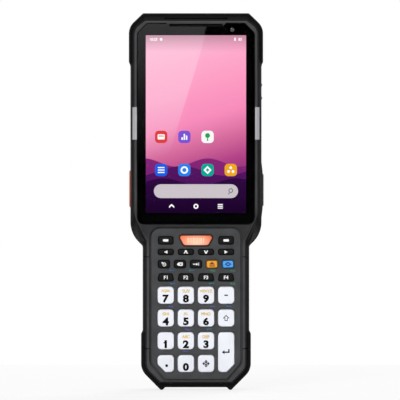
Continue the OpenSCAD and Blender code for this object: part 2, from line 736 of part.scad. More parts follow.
module main_board() color("darkgreen") stand() difference() {
    union() {
        slab(board_z, board_z + board_t, outline(rectangle(0, board_y, 2 * board_x, board_h, 2)));
        for (y = left_can_y) block([-can_gap / 3 - can_w, -can_gap / 3],
            [y - left_can_h / 2, y + left_can_h / 2], [board_z + board_t - eps, board_z + board_t + can_h]);
        for (y = right_can_y) block([can_gap * 2 / 3, can_gap * 2 / 3 + can_w],
            [y - right_can_h / 2, y + right_can_h / 2], [board_z + board_t - eps, board_z + board_t + can_h]);
    }
    for (s = SCREWS) rod(s[0], s[1], 0, through, boss_r + 2 * seat_gap);
}

module front_camera() color([0.1, 0.1, 0.12]) stand() difference() {
    rod(front_camera_x, front_camera_y, chassis_z, glass_floor_z - 0.05, front_camera_r);
    rod(front_camera_x, front_camera_y, glass_floor_z - 0.5, through, 0.9);
}

// Bars with the section of the rim
module light_guides() color([0.8, 0.8, 0.82]) stand() for (s = [-1, 1]) scale([s, 1, 1])
    translate([0, guide_y1 - seat_gap / 2, 0]) rotate([90, 0, 0]) linear_extrude(guide_l - seat_gap)
        polygon([[guide_in_x + seat_gap / 2, guide_z], [guide_foot_x, guide_z],
            for (r = RIM) if (r[1] > guide_z) [head_x - r[0], r[1]], [guide_in_x + seat_gap / 2, front_z]]);

// ---- Keypad ----

// A key cap through the bezel on a flange that stops it from below
module key_form(c) union() {
    slab(flange_z, flange_top_z, outline(c, -flange_w));
    loft([
        [flange_top_z - eps, outline(c)],
        for (r = KEY_CROWN) [key_top_z - r[1], outline(c, r[0])]]);
}

function number_corners(x, y) = rectangle(x, y, number_w, number_h, 2);
function function_corners(x) = [
    [x - number_w / 2, row_f - function_h / 2, 0.9], [x + number_w / 2, row_f - function_h / 2, 0.9],
    [x + number_w / 2 - 0.9, row_f + function_h / 2, 1], [x - number_w / 2 + 0.9, row_f + function_h / 2, 1]];
function five_corners(k) = rectangle(k * five_pitch, row_five, five_w, five_h, 1);
function arrow_corners(x) = rectangle(x, row_arrow, arrow_w, arrow_h, 1);
function soft_corners(x) = rectangle(x, row_soft, soft_w, soft_h, 1);
function scan_corners() = both_sides([
    [scan_bottom_w / 2, row_soft - scan_h / 2, 1.7], [scan_top_w / 2, row_soft + scan_h / 2, 1.5]]);
function point_corners() = let (x = -outer_x, y = row_0, w = number_w / 2, h = number_h / 2) [
    [x - w + key_cut, y - h, 1], [x + w, y - h, 2], [x + w, y + h, 2], [x - w, y + h, 2],
    [x - w, y - h + key_cut, 1]];
function enter_corners() = let (x = outer_x, y = row_0, w = number_w / 2, h = number_h / 2) [
    [x - w, y - h, 2], [x + w - key_cut, y - h, 1], [x + w, y - h + key_cut, 1],
    [x + w, row_1 + h, 2], [x - w, row_1 + h, 2]];

KEYS = [
    for (x = [-outer_x, outer_x]) soft_corners(x), scan_corners(),
    for (x = [-outer_x, -inner_x, inner_x, outer_x]) arrow_corners(x),
    for (k = [-2:2]) five_corners(k),
    for (x = [-outer_x, -inner_x, inner_x, outer_x]) function_corners(x),
    for (x = [-outer_x, -inner_x, inner_x], y = [row_1, row_4, row_7]) number_corners(x, y),
    for (y = [row_4, row_7]) number_corners(outer_x, y),
    for (x = [-inner_x, inner_x]) number_corners(x, row_0),
    point_corners(), enter_corners()];

module keypad_bezel() color([0.24, 0.24, 0.24]) stand() difference() {
    union() {
        slab(bezel_under_z + seat_gap, bezel_under_z + bezel_rim_t, outline(bezel_corners(), -bezel_rim));
        loft([
            [bezel_under_z + seat_gap, outline(bezel_corners())],
            [bezel_z - 0.3, outline(bezel_corners())],
            [bezel_z, outline(bezel_corners(), 0.3)]], true);
    }
    for (c = KEYS) slab(0, through, outline(c, -key_gap));
}

// A sheet behind the bezel with room for the screw bosses
module keypad_sheet(z, t) difference() {
    slab(z, z + t, outline(bezel_corners(), -0.6));
    for (s = SCREWS) rod(s[0], s[1], z - 1, z + t + 1, boss_r + 0.15);
}

module keypad_rubber() color([0.3, 0.3, 0.32]) stand() keypad_sheet(rubber_z, rubber_t);

module keypad_board() color("darkgreen") stand() keypad_sheet(keypad_board_z, keypad_board_t);

module white_key(x, y) color([0.95, 0.95, 0.97]) stand() key_form(number_corners(x, y));
module black_key(c) color([0.07, 0.07, 0.07]) stand() key_form(c);

module soft_key_left() black_key(soft_corners(-outer_x));
module scan_key() color([0.94, 0.45, 0.27]) stand() key_form(scan_corners());
module soft_key_right() black_key(soft_corners(outer_x));
module arrow_left_key() black_key(arrow_corners(-outer_x));
module arrow_up_key() black_key(arrow_corners(-inner_x));
module arrow_down_key() black_key(arrow_corners(inner_x));
module arrow_right_key() black_key(arrow_corners(outer_x));
module escape_key() black_key(five_corners(-2));
module backspace_key() black_key(five_corners(-1));
module tab_key() black_key(five_corners(0));
module alpha_key() color([0.95, 0.66, 0.15]) stand() key_form(five_corners(1));
module function_key() color([0.22, 0.6, 0.93]) stand() key_form(five_corners(2));
module f1_key() black_key(function_corners(-outer_x));
module f2_key() black_key(function_corners(-inner_x));
module f3_key() black_key(function_corners(inner_x));
module f4_key() black_key(function_corners(outer_x));
module key_7() white_key(-outer_x, row_7);
module key_8() white_key(-inner_x, row_7);
module key_9() white_key(inner_x, row_7);
module minus_key() white_key(outer_x, row_7);
module key_4() white_key(-outer_x, row_4);
module key_5() white_key(-inner_x, row_4);
module key_6() white_key(inner_x, row_4);
module shift_key() white_key(outer_x, row_4);
module key_1() white_key(-outer_x, row_1);
module key_2() white_key(-inner_x, row_1);
module key_3() white_key(inner_x, row_1);
module key_0() white_key(-inner_x, row_0);
module target_key() white_key(inner_x, row_0);
module point_key() color([0.95, 0.95, 0.97]) stand() key_form(point_corners());
module enter_key() color([0.95, 0.95, 0.97]) stand() key_form(enter_corners());

// ---- Scanner, camera, speaker ----

module scan_window() color([0.3, 0.05, 0.08]) stand()
    block([-window_x, window_x], [core_top_y - window_t, core_top_y], [window_z0, window_z1]);

module scan_engine() color([0.15, 0.15, 0.16]) stand() difference() {
    union() {
        block([-engine_w / 2, engine_w / 2], [engine_y0, engine_y1], [window_z0 + 0.5, window_z1 - 0.4]);
        for (x = lens_x) up_rod(x, engine_y1, window_z, 2 * lens_l, lens_r);
    }
    for (x = lens_x) up_rod(x, engine_y1 + lens_wall + lens_l, window_z, 2 * lens_l, lens_r - lens_wall);
}

module rear_camera() color([0.08, 0.08, 0.09]) stand() difference() {
    union() {
        rod(0, camera_y, head_back_z, head_back_z + camera_l, camera_r);
        rod(flash_x, camera_y, head_back_z + 0.2, head_back_z + camera_l, flash_r);
        block([-camera_r - flash_margin, flash_x + flash_r + flash_margin],
            [camera_y - camera_plate_h / 2, camera_y + camera_plate_h / 2],
            [camera_plate_z, camera_plate_z + camera_plate_t]);
        block([-camera_r, camera_r], [camera_y - camera_r, camera_y + camera_r],
            [camera_plate_z + camera_plate_t - eps, camera_plate_z + camera_plate_t + camera_box_t]);
    }
    rod(0, camera_y, head_back_z - 1, head_back_z + 1, camera_r - 1.8);
}

module speaker() color([0.15, 0.15, 0.15]) stand() difference() {
    block([-speaker_w / 2, speaker_w / 2], [speaker_y - speaker_h / 2, speaker_y + speaker_h / 2],
        [head_back_z + skin + seat_gap, head_back_z + skin + speaker_t]);
    block([-speaker_w / 2 + 3, speaker_w / 2 - 3], [speaker_y - speaker_h / 3, speaker_y + speaker_h / 3],
        [head_back_z, head_back_z + skin + 0.7]);
}

// ---- Side port ----

module usb_port() color("silver") stand() difference() {
    block([-head_x + wall + 0.4, -head_x + wall + 0.4 + port_l], [port_y - port_w / 2, port_y + port_w / 2],
        [port_z0, port_z0 + port_h]);
    block([-head_x, -head_x + wall + port_l - 1.6], [port_y - port_w / 2 + 0.6, port_y + port_w / 2 - 0.6],
        [port_z0 + port_wall, port_z0 + port_h - port_wall]);
}

module port_cover() color([0.08, 0.08, 0.08]) stand() difference() {
    union() {
        block([-head_x, -head_x + cover_t], [port_y - port_cover_l / 2, port_y + port_cover_l / 2],
            [hinge_z, cover_top_z]);
        block([-head_x + cover_t - eps, -head_x + wall + 0.2], [port_y - plug_w / 2, port_y + plug_w / 2],
            plug_z);
        up_rod(-hinge_x, port_y, hinge_z, port_cover_l, knuckle_r);
    }
    up_rod(-hinge_x, port_y, hinge_z, 2 * port_cover_l, pin_r + pin_gap);
}

module port_cover_pin() color("silver") stand()
    up_rod(-hinge_x, port_y, hinge_z, port_cover_l + 2 * pin_end, pin_r);

// ---- Side buttons ----

module side_cap(proud, y, l) {
    loft_x(head_x - wall - seat_gap, head_x + proud, y, l);
    side_pill(head_x - wall - seat_gap - button_flange_t, head_x - wall - seat_gap, y, button_z,
        l + 2 * button_flange_w, side_button_w + 2 * button_flange_w);
}

// A pill with a rounded outer edge, standing out along x
module loft_x(x0, x1, y, l) {
    side_pill(x0 - eps, x1 - 0.5, y, button_z, l, side_button_w);
    side_pill(x1 - 0.5 - eps, x1 - 0.2, y, button_z, l - 0.4, side_button_w - 0.4);
    side_pill(x1 - 0.2 - eps, x1, y, button_z, l - 1.2, side_button_w - 1.2);
}

module scan_button() color([0.8, 0.38, 0.15]) stand() mirror([1, 0, 0])
    side_cap(scan_button_proud, scan_button_y, scan_button_l);

module side_button() color([0.07, 0.07, 0.07]) stand()
    side_cap(side_button_proud, side_button_y, side_button_l);

module volume_rocker() color([0.07, 0.07, 0.07]) stand() {
    difference() {
        block([head_x - rocker_t, head_x], [rocker_y - rocker_l / 2, rocker_y + rocker_l / 2],
            [button_z - rocker_w / 2, button_z + rocker_w / 2]);
        rod(head_x, rocker_y, button_z - rocker_w, button_z + rocker_w, 0.5);
    }
    rod(rocker_x, rocker_y, button_z - rocker_w / 2 - rocker_axle_l, button_z + rocker_w / 2 + rocker_axle_l,
        rocker_r);
    for (s = [-1, 1]) rod(head_x - bump_r + bump_proud, rocker_y + s * bump_spread,
        button_z - rocker_w / 3, button_z + rocker_w / 3, bump_r);
}

// ---- Battery pack and lock ----

module battery_pack() color([0.1, 0.1, 0.1]) stand() difference() {
    union() {
        difference() {
            loft([for (r = [[0, 1.4], [0.5, 0.5], [1.4, 0], [pack_in_z - pack_back_z, 0]])
                [pack_back_z + r[0], outline(rectangle(0, (pack_y0 + pack_y1) / 2, pack_w, pack_l, 2), r[1])]]);
            // Lower end: round inside and bevelled outside, so that the pack can tilt in its bay
            difference() {
                block([-through, through], [pack_y0 - 5, tilt_y], [tilt_z, through]);
                translate([-through, tilt_y, tilt_z]) rotate([0, 90, 0])
                    cylinder(h = 2 * through, r = tilt_r);
            }
            translate([0, tilt_y, tilt_z]) rotate([tilt_range, 0, 0])
                block([-through, through], [-through, -tilt_r], [-through, through]);
        }
        trunnions(0, trunnion_l);
    }
    // Contact pads
    for (x = battery_contact_x) rod(x, battery_contact_y, pack_in_z - 0.15, pack_in_z + 1,
        battery_contact_r + 0.5);
    // Finger grooves
    for (k = [0:3]) block([-finger_w / 2, finger_w / 2],
        [finger_y - finger_pitch * k - 1, finger_y - finger_pitch * k], [pack_back_z - 1, pack_back_z + 0.5]);
}

// A slider in its guide, with a knob that reaches over the end of the pack once it is pushed down
module battery_lock() color([0.5, 0.5, 0.52]) stand() {
    block([-lock_w / 2, lock_w / 2], [lock_y0, knob_y1], [lock_z, lock_z + lock_t]);
    block([-lock_stem_w / 2, lock_stem_w / 2], [lock_y0, knob_y1], [knob_z, lock_z]);
    block([-lock_w / 2, lock_w / 2], [knob_y0, knob_y1], [knob_z - knob_t, knob_z]);
    for (k = [1:4]) translate([0, knob_y0 + knob_rib_pitch * k, 0]) block([-lock_w / 2 + 1.5, lock_w / 2 - 1.5],
        [-knob_rib_w / 2, knob_rib_w / 2], [knob_z - knob_t - knob_rib_h, knob_z - knob_t]);
}

// ---- Contacts and inserts ----

module contact_pins() color("gold") stand() {
    for (k = [-3:3]) up_rod(k * contact_pitch, bottom_y + guard_t - 0.3 + contact_l / 2, contact_z, contact_l,
        contact_r);
    for (x = battery_contact_x) rod(x, battery_contact_y, pack_in_z, bay_floor_z + bay_wall + 0.8,
        battery_contact_r);
}

module strap_inserts() color("gold") stand() for (s = [-1, 1]) difference() {
    rod(s * insert_pitch / 2, insert_y, head_back_z, head_back_z + insert_l, insert_r);
    rod(s * insert_pitch / 2, insert_y, head_back_z - 1, head_back_z + insert_l + 1, insert_bore_r);
}

front_housing();
back_housing();
housing_seal();
housing_screws();
upper_guard();
lower_guard();
touch_glass();
display_panel();
chassis_frame();
main_board();
front_camera();
light_guides();
keypad_bezel();
keypad_rubber();
keypad_board();
scan_window();
scan_engine();
rear_camera();
speaker();
usb_port();
port_cover();
port_cover_pin();
scan_button();
side_button();
volume_rocker();
battery_pack();
battery_lock();
contact_pins();
strap_inserts();
soft_key_left();
scan_key();
soft_key_right();
arrow_left_key();
arrow_up_key();
arrow_down_key();
arrow_right_key();
escape_key();
backspace_key();
tab_key();
alpha_key();
function_key();
f1_key();
f2_key();
f3_key();
f4_key();
key_7();
key_8();
key_9();
minus_key();
key_4();
key_5();
key_6();
shift_key();
key_1();
key_2();
key_3();
enter_key();
point_key();
key_0();
target_key();
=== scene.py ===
import math

import bmesh
import bpy
from mathutils import Matrix, Vector


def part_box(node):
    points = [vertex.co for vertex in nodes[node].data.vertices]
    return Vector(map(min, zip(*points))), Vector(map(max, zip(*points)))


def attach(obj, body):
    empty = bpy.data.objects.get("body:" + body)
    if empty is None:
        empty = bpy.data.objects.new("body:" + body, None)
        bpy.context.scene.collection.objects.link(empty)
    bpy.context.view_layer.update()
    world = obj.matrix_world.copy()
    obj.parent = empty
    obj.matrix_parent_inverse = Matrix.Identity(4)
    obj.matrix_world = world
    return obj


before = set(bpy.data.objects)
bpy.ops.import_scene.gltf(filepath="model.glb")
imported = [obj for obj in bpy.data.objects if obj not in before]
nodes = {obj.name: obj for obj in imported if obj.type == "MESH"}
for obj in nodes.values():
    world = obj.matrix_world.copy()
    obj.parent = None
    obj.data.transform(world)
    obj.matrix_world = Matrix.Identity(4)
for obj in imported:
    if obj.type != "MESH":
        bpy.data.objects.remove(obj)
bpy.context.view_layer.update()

# ---- Front and back housing ----
# Two shells moulded in charcoal glass-filled polycarbonate with a fine eroded grain. They close on a
# seal round the waist. Their edges carry a painted highlight, a paler tone where light would catch
# them, and the front shell has painted shade on its slopes and a painted highlight on its front rim.

MM = 0.001


def tone(red, green, blue):
    """A colour as a screen shows it, 0 to 255, as the linear colour that a shader takes."""
    return tuple(
        v / 255 / 12.92 if v <= 10 else ((v / 255 + 0.055) / 1.055) ** 2.4
        for v in (red, green, blue)
    ) + (1.0,)


def scaled(colour, factor):
    """A linear colour made darker or paler."""
    return tuple(min(1.0, v * factor) for v in colour[:3]) + (1.0,)


def ranged(tree, value, start, end, low=0.0, high=1.0):
    """Turns a value that runs from start to end into one that runs from low to high."""
    fitted = tree.nodes.new("ShaderNodeMapRange")
    for name, number in (("From Min", start), ("From Max", end), ("To Min", low), ("To Max", high)):
        fitted.inputs[name].default_value = number
    tree.links.new(value, fitted.inputs["Value"])
    return fitted.outputs["Result"]


def worked(tree, operation, *values):
    """Arithmetic on sockets and plain numbers."""
    step = tree.nodes.new("ShaderNodeMath")
    step.operation = operation
    for place, value in zip(step.inputs, values):
        if isinstance(value, (int, float)):
            place.default_value = value
        else:
            tree.links.new(value, place)
    return step.outputs["Value"]


def mixed(tree, share, under, over):
    """Covers one colour with another by a share. Each is a colour or the socket that gives it."""
    mix = tree.nodes.new("ShaderNodeMix")
    mix.data_type = "RGBA"
    tree.links.new(share, mix.inputs["Factor"])
    for side, colour in (("A", under), ("B", over)):
        if isinstance(colour, tuple):
            mix.inputs[side].default_value = colour
        else:
            tree.links.new(colour, mix.inputs[side])
    return mix.outputs["Result"]


def moulded(name, colour, rough, grain=0.3, relief=0.006, cloud=0.14, specular=0.3, painted_highlight=0.0,
        coat=0.0):
    """A moulded finish. Grain is the width of its texture and relief its depth, both in millimetres.
    Cloud is the unevenness of its tone. The edge highlight is how much paler its edges are painted, a
    painted highlight where light would catch them."""
    finish = bpy.data.materials.new(name)
    finish.use_nodes = True
    tree = finish.node_tree
    shader = tree.nodes["Principled BSDF"]
    shader.inputs["Specular IOR Level"].default_value = specular
    shader.inputs["Coat Weight"].default_value = coat
    shader.inputs["Coat Roughness"].default_value = 0.08
    place = tree.nodes.new("ShaderNodeTexCoord").outputs["Object"]

    def noise(size, detail):
        made = tree.nodes.new("ShaderNodeTexNoise")
        made.inputs["Scale"].default_value = 1 / (size * MM)
        made.inputs["Detail"].default_value = detail
        tree.links.new(place, made.inputs["Vector"])
        return made.outputs["Fac"]

    mottle = noise(7, 4)
    shades = tree.nodes.new("ShaderNodeValToRGB")
    shades.color_ramp.elements[0].position = 0.3
    shades.color_ramp.elements[0].color = scaled(colour, 1 - cloud)
    shades.color_ramp.elements[1].position = 0.7
    shades.color_ramp.elements[1].color = scaled(colour, 1 + cloud)
    tree.links.new(mottle, shades.inputs["Fac"])
    painted = shades.outputs["Color"]
    # Painted highlight: the tone is paler where the rounded normal bends away from the flat one, as if
    # light caught the edge.
    if painted_highlight:
        rounded = tree.nodes.new("ShaderNodeBevel")
        rounded.samples = 4
        rounded.inputs["Radius"].default_value = 0.35 * MM
        flat = tree.nodes.new("ShaderNodeNewGeometry")
        bend = tree.nodes.new("ShaderNodeVectorMath")
        bend.operation = "DOT_PRODUCT"
        tree.links.new(rounded.outputs["Normal"], bend.inputs[0])
        tree.links.new(flat.outputs["Normal"], bend.inputs[1])
        edge = ranged(tree, bend.outputs["Value"], 0.97, 0.8)
        painted = mixed(tree, edge, painted, scaled(colour, 1 + painted_highlight))
    tree.links.new(painted, shader.inputs["Base Color"])

    gloss = ranged(tree, noise(2.5, 3), 0, 1, max(0.02, rough - 0.08), min(1.0, rough + 0.08))
    tree.links.new(gloss, shader.inputs["Roughness"])

    bump = tree.nodes.new("ShaderNodeBump")
    bump.inputs["Distance"].default_value = relief * MM
    tree.links.new(noise(grain, 2), bump.inputs["Height"])
    tree.links.new(bump.outputs["Normal"], shader.inputs["Normal"])
    return finish


def dress(names, finish):
    """Gives CAD nodes their finish."""
    for name in names:
        for holder in nodes[name].material_slots:
            holder.material = finish


def soften(names, width=0.0):
    """Evens the shading of CAD nodes and, where a width is given, rounds their sharp edges by it, as a
    mould does."""
    for name in names:
        node = nodes[name]
        node.modifiers.new("join", "WELD").merge_threshold = 0.001 * MM
        if width:
            edges = node.modifiers.new("edges", "BEVEL")
            edges.width = width * MM
            edges.segments = 2
            edges.limit_method = "ANGLE"
            edges.angle_limit = math.radians(25)
            edges.use_clamp_overlap = False
            edges.harden_normals = True
        node.modifiers.new("shading", "WEIGHTED_NORMAL").keep_sharp = True


def on_axis(tree, kind, axis):
    """One axis of where a spot lies on a piece ("Object") or of which way it looks ("Normal")."""
    axes = tree.nodes.new("ShaderNodeSeparateXYZ")
    tree.links.new(tree.nodes.new("ShaderNodeTexCoord").outputs[kind], axes.inputs["Vector"])
    return axes.outputs[axis]


def dark_flanks(finish, colour, straight=0.8, turned_away=0.55, walls=1.0, rim_highlight=None, rim_highlight_y=0.0):
    """Paints shade on the slopes of a piece that faces the user, darker where they turn away from it.
    Straight and turned_away say how squarely a face looks at the user where the painted shade begins
    and where it is full, and walls how much of it the upright side walls keep. The rim tone is a painted
    highlight, a paler colour given to the slopes in front of a plane across Y."""
    tree = finish.node_tree
    base = tree.nodes["Principled BSDF"].inputs["Base Color"]
    face = base.links[0].from_socket
    facing = on_axis(tree, "Normal", "Y")
    away = ranged(tree, facing, -straight, -turned_away)
    kept = ranged(tree, facing, -0.3, -0.1, 1, walls)
    slopes = colour
    # Painted highlight on the slopes in front of the rim's plane.
    if rim_highlight:
        foremost = ranged(tree, on_axis(tree, "Object", "Y"), rim_highlight_y + 0.1 * MM, rim_highlight_y - 0.1 * MM)
        slopes = mixed(tree, foremost, colour, rim_highlight)
    tree.links.new(mixed(tree, worked(tree, "MULTIPLY", away, kept), face, slopes), base)


charcoal = moulded("charcoal_shell", tone(72, 72, 74), 0.7, specular=0.04, painted_highlight=0.4)


def darker_about(finish, height, near, far, share):
    """Paints shade into a finish about a height, darkening it to a share of its tone: it is full as far
    as near, and has faded out at far. Heights and distances are in millimetres."""
    tree = finish.node_tree
    base = tree.nodes["Principled BSDF"].inputs["Base Color"]
    painted = base.links[0].from_socket
    above = worked(tree, "SUBTRACT", on_axis(tree, "Object", "Z"), height * MM)
    fade = ranged(tree, worked(tree, "ABSOLUTE", above), near * MM, far * MM, share, 1)
    fade.node.interpolation_type = "SMOOTHSTEP"
    dimmed = tree.nodes.new("ShaderNodeVectorMath")
    dimmed.operation = "SCALE"
    tree.links.new(painted, dimmed.inputs["Vector"])
    tree.links.new(fade, dimmed.inputs["Scale"])
    tree.links.new(dimmed.outputs["Vector"], base)


# Painted shade across the front shell's shoulders and at its top end.
shoulders_h, top_end_h = 88, 203
darker_about(charcoal, shoulders_h, 3, 16, 0.5)
darker_about(charcoal, top_end_h, 4, 5.5, 0.3)
# Painted shade on the shell's slopes that turn from the user, and a painted highlight on the slopes of
# its front rim.
dark_flanks(charcoal, tone(14, 14, 15), walls=0.5, rim_highlight=tone(90, 90, 92), rim_highlight_y=-16.5 * MM)
# Its edges carry a stronger painted highlight.
back_charcoal = moulded("back_shell", tone(42, 42, 44), 0.66, grain=0.45, relief=0.03,
    specular=0.15, painted_highlight=0.9)
dress(["front_housing"], charcoal)
dress(["back_housing"], back_charcoal)
soften(["front_housing"], 0.15)
soften(["back_housing"])

# ---- Seal and screws ----
# A moulded silicone cord is pinched between the shells. Six zinc-plated hexagon socket screws hold
# them from the back, each in its counterbore.

seal_rubber = moulded("seal_rubber", tone(12, 12, 13), 0.75, specular=0.08)
dress(["housing_seal"], seal_rubber)


def metal(name, colour, rough, grain=0.2, relief=0.002, metallic=1.0):
    """A metal finish with fine marks of its making."""
    finish = moulded(name, colour, rough, grain, relief, cloud=0.06)
    finish.node_tree.nodes["Principled BSDF"].inputs["Metallic"].default_value = metallic
    return finish


steel = metal("zinc_plated_steel", tone(150, 152, 156), 0.35)
dress(["housing_screws"], steel)

# ---- Corner guards ----
# Soft black thermoplastic rubber, moulded over the four corners and the two feet. It is matt with a
# coarser grain than the shells and takes the knocks.

# Its edges carry a strong painted highlight, which the port cover shares.
guard_rubber = moulded("guard_rubber", tone(17, 17, 18), 0.72, grain=0.5, relief=0.05, cloud=0.3,
    specular=0.06, painted_highlight=1.2)
dress(["upper_guard", "lower_guard"], guard_rubber)
soften(["upper_guard"], 0.2)
soften(["lower_guard"])

# ---- Chassis, boards and what they carry ----
# A die-cast magnesium frame stiffens the head behind the display. The boards are glass epoxy under green
# solder mask, with cans over the radio parts, and the keys' silicone sheet lies on the lower one.

dress(["chassis_frame"], metal("cast_magnesium", tone(170, 172, 175), 0.5, grain=0.6, relief=0.01))
dress(["main_board", "keypad_board"], moulded("solder_mask", tone(20, 84, 48), 0.4, grain=1.2))
dress(["keypad_rubber"], moulded("keypad_silicone", tone(70, 70, 76), 0.6))

# ---- Cameras and flash ----
# Each camera is a black barrel with a coated lens down a short stepped hood. The flash beside the back
# camera sits under a ridged diffuser of clear resin.

black_plastic = moulded("black_plastic", tone(16, 16, 18), 0.5, specular=0.2)
dress(["front_camera", "rear_camera"], black_plastic)
lens_coat = moulded("lens_coat", tone(10, 12, 30), 0.05, grain=3, relief=0.0002, cloud=0.4,
    specular=0.6, coat=1.0)
dark_anodised = metal("dark_anodised", tone(96, 98, 104), 0.3, grain=0.15, relief=0.001)


def drawn(name, form):
    """The mesh of a form, which is used up."""
    mesh = bpy.data.meshes.new(name)
    form.to_mesh(mesh)
    form.free()
    return mesh


def shown(name, mesh, finish):
    """Stands a mesh in the scene in its finish."""
    mesh.materials.append(finish)
    piece = bpy.data.objects.new(name, mesh)
    bpy.context.scene.collection.objects.link(piece)
    return piece


def carried(piece, body):
    """Lets a piece move with the body that carries it."""
    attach(piece, body)


def turned(name, profile, middle, axis, finish, body):
    """A piece turned about an axis through its middle. Profile is a closed line of (radius, height
    along the axis) in millimetres."""
    form = bmesh.new()
    corners = 40
    rings = []
    for radius, out in profile:
        turns = [2 * math.pi * k / corners for k in range(corners)] if radius else [0]
        rings.append([form.verts.new((radius * math.cos(turn) * MM, radius * math.sin(turn) * MM,
            out * MM)) for turn in turns])
    for inner, outer in zip(rings, rings[1:]):
        for k in range(corners):
            around = [inner[k % len(inner)], inner[(k + 1) % len(inner)],
                outer[(k + 1) % len(outer)], outer[k % len(outer)]]
            form.faces.new(sorted(set(around), key=around.index))
    bmesh.ops.remove_doubles(form, verts=form.verts, dist=0.0001 * MM)
    bmesh.ops.recalc_face_normals(form, faces=form.faces)
    mesh = drawn(name, form)
    tilt = Vector((0, 0, 1)).rotation_difference(Vector(axis)).to_matrix().to_4x4()
    mesh.transform(Matrix.Translation(middle) @ tilt)
    mesh.shade_smooth()
    mesh.set_sharp_from_angle(angle=math.radians(30))
    carried(shown(name, mesh, finish), body)


def dome(radius, rise):
    """Profile of a lens: a flat back and a crowned front."""
    ball = (radius ** 2 + rise ** 2) / (2 * rise)
    crown = [(radius * k / 6, math.sqrt(ball ** 2 - (radius * k / 6) ** 2) - ball + rise)
        for k in range(6, -1, -1)]
    return [(0, -0.2), (radius, -0.2)] + crown


camera_low, camera_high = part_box("front_camera")
camera_x, camera_h = (camera_low.x + camera_high.x) / 2, (camera_low.z + camera_high.z) / 2
front_lens_sunk = 0.4 * MM
turned("front_camera_lens", dome(0.82, 0.22), (camera_x, camera_low.y + front_lens_sunk, camera_h),
    (0, -1, 0), lens_coat, "terminal")
turned("front_camera_ring", [(0.8, -0.1), (0.86, 0.03), (1.08, 0.03), (1.12, -0.1), (0.8, -0.1)],
    (camera_x, camera_low.y, camera_h), (0, -1, 0), dark_anodised, "terminal")

rear_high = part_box("rear_camera")[1]
rear_h = 178 * MM
rear_lens_sunk = 0.8 * MM
turned("rear_camera_hood", [(2.38, -0.95), (2.38, -0.1), (2.1, -0.1), (2.0, -0.4), (1.75, -0.4),
    (1.65, -0.7), (1.45, -0.7), (1.35, -0.95), (2.38, -0.95)], (0, rear_high.y, rear_h), (0, 1, 0),
    dark_anodised, "terminal")
turned("rear_camera_lens", dome(1.36, 0.35), (0, rear_high.y - rear_lens_sunk, rear_h), (0, 1, 0),
    lens_coat, "terminal")

diffuser = moulded("flash_diffuser", tone(232, 226, 196), 0.25, grain=0.5, specular=0.5, coat=0.5)
flash_r, flash_wall, flash_sunk = 1.7 * MM, 1.3 * MM, 0.2 * MM
ridges = [(1.4 - 0.2 * k, 0.06 + 0.09 * (k % 2)) for k in range(7)]
turned("flash_diffuser", [(0, 0.0), (1.55, 0.0), (1.5, 0.14)] + ridges + [(0, 0.12)],
    (rear_high.x - flash_wall - flash_r, rear_high.y - flash_sunk, rear_h), (0, 1, 0),
    diffuser, "terminal")

# ---- Speaker and earpiece ----
# The speaker plays through slots in the back shell and the earpiece through a slot above the glass. A
# black acoustic cloth, glued on from inside, keeps dust and water out of both.


def woven(name, colour, pitch):
    """A plain weave of the given pitch in millimetres."""
    finish = moulded(name, colour, 0.9, specular=0.05)
    tree = finish.node_tree
    place = tree.nodes.new("ShaderNodeTexCoord").outputs["Object"]

    def threads(direction):
        wave = tree.nodes.new("ShaderNodeTexWave")
        wave.bands_direction = direction
        wave.inputs["Scale"].default_value = 0.314 / (pitch * MM)
        tree.links.new(place, wave.inputs["Vector"])
        return wave.outputs["Fac"]

    relief = tree.nodes["Bump"]
    relief.inputs["Distance"].default_value = 0.25 * pitch * MM
    tree.links.new(worked(tree, "MULTIPLY", threads("X"), threads("Z")), relief.inputs["Height"])
    return finish


acoustic_cloth = woven("acoustic_cloth", tone(34, 34, 36), 0.3)
dress(["speaker"], black_plastic)
speaker_low, speaker_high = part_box("speaker")


def cloth(name, low, high, y, swell):
    """A piece of cloth in an upright frame, slightly blown out along Y at its middle."""
    form = bmesh.new()
    across, up = 16, 10
    rows = [[form.verts.new((low.x + (high.x - low.x) * i / across,
        y + swell * (1 - (2 * i / across - 1) ** 2) * (1 - (2 * j / up - 1) ** 2),
        low.z + (high.z - low.z) * j / up)) for i in range(across + 1)] for j in range(up + 1)]
    for lower, upper in zip(rows, rows[1:]):
        for i in range(across):
            form.faces.new((lower[i], lower[i + 1], upper[i + 1], upper[i]))
    mesh = drawn(name, form)
    mesh.shade_smooth()
    carried(shown(name, mesh, acoustic_cloth), "terminal")


margin = Vector((0.4, 0, 0.4)) * MM
cloth("speaker_cloth", speaker_low + margin, speaker_high - margin, speaker_high.y + 0.04 * MM,
    0.03 * MM)
slot_low, slot_high = Vector((-13.9, 0, 194.35)) * MM, Vector((13.9, 0, 195.75)) * MM
slot_floor = -13.8 * MM
cloth("earpiece_cloth", slot_low, slot_high, slot_floor, -0.03 * MM)

# ---- Display and its picture ----
# A liquid crystal panel fills the well behind the glass. Its lit picture is a plain dusk gradient over
# rolling waves, with simple tiles, a search bar and three marks, each drawn as its own thin layer. A
# paler layer over its upper left is a painted reflection of the shine on the glass.

panel_low, panel_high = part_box("display_panel")
panel_face = -panel_low.y
picture_w, picture_h = 53.6 * MM, 95 * MM
picture_x = picture_w / 2
picture_mid = (panel_low.z + panel_high.z) / 2
picture_low = picture_mid - picture_h / 2
picture_top = picture_mid + picture_h / 2
layer = 0.015 * MM

dress(["display_panel"], moulded("panel_frame", tone(16, 16, 18), 0.6))
screen_light = 1.08


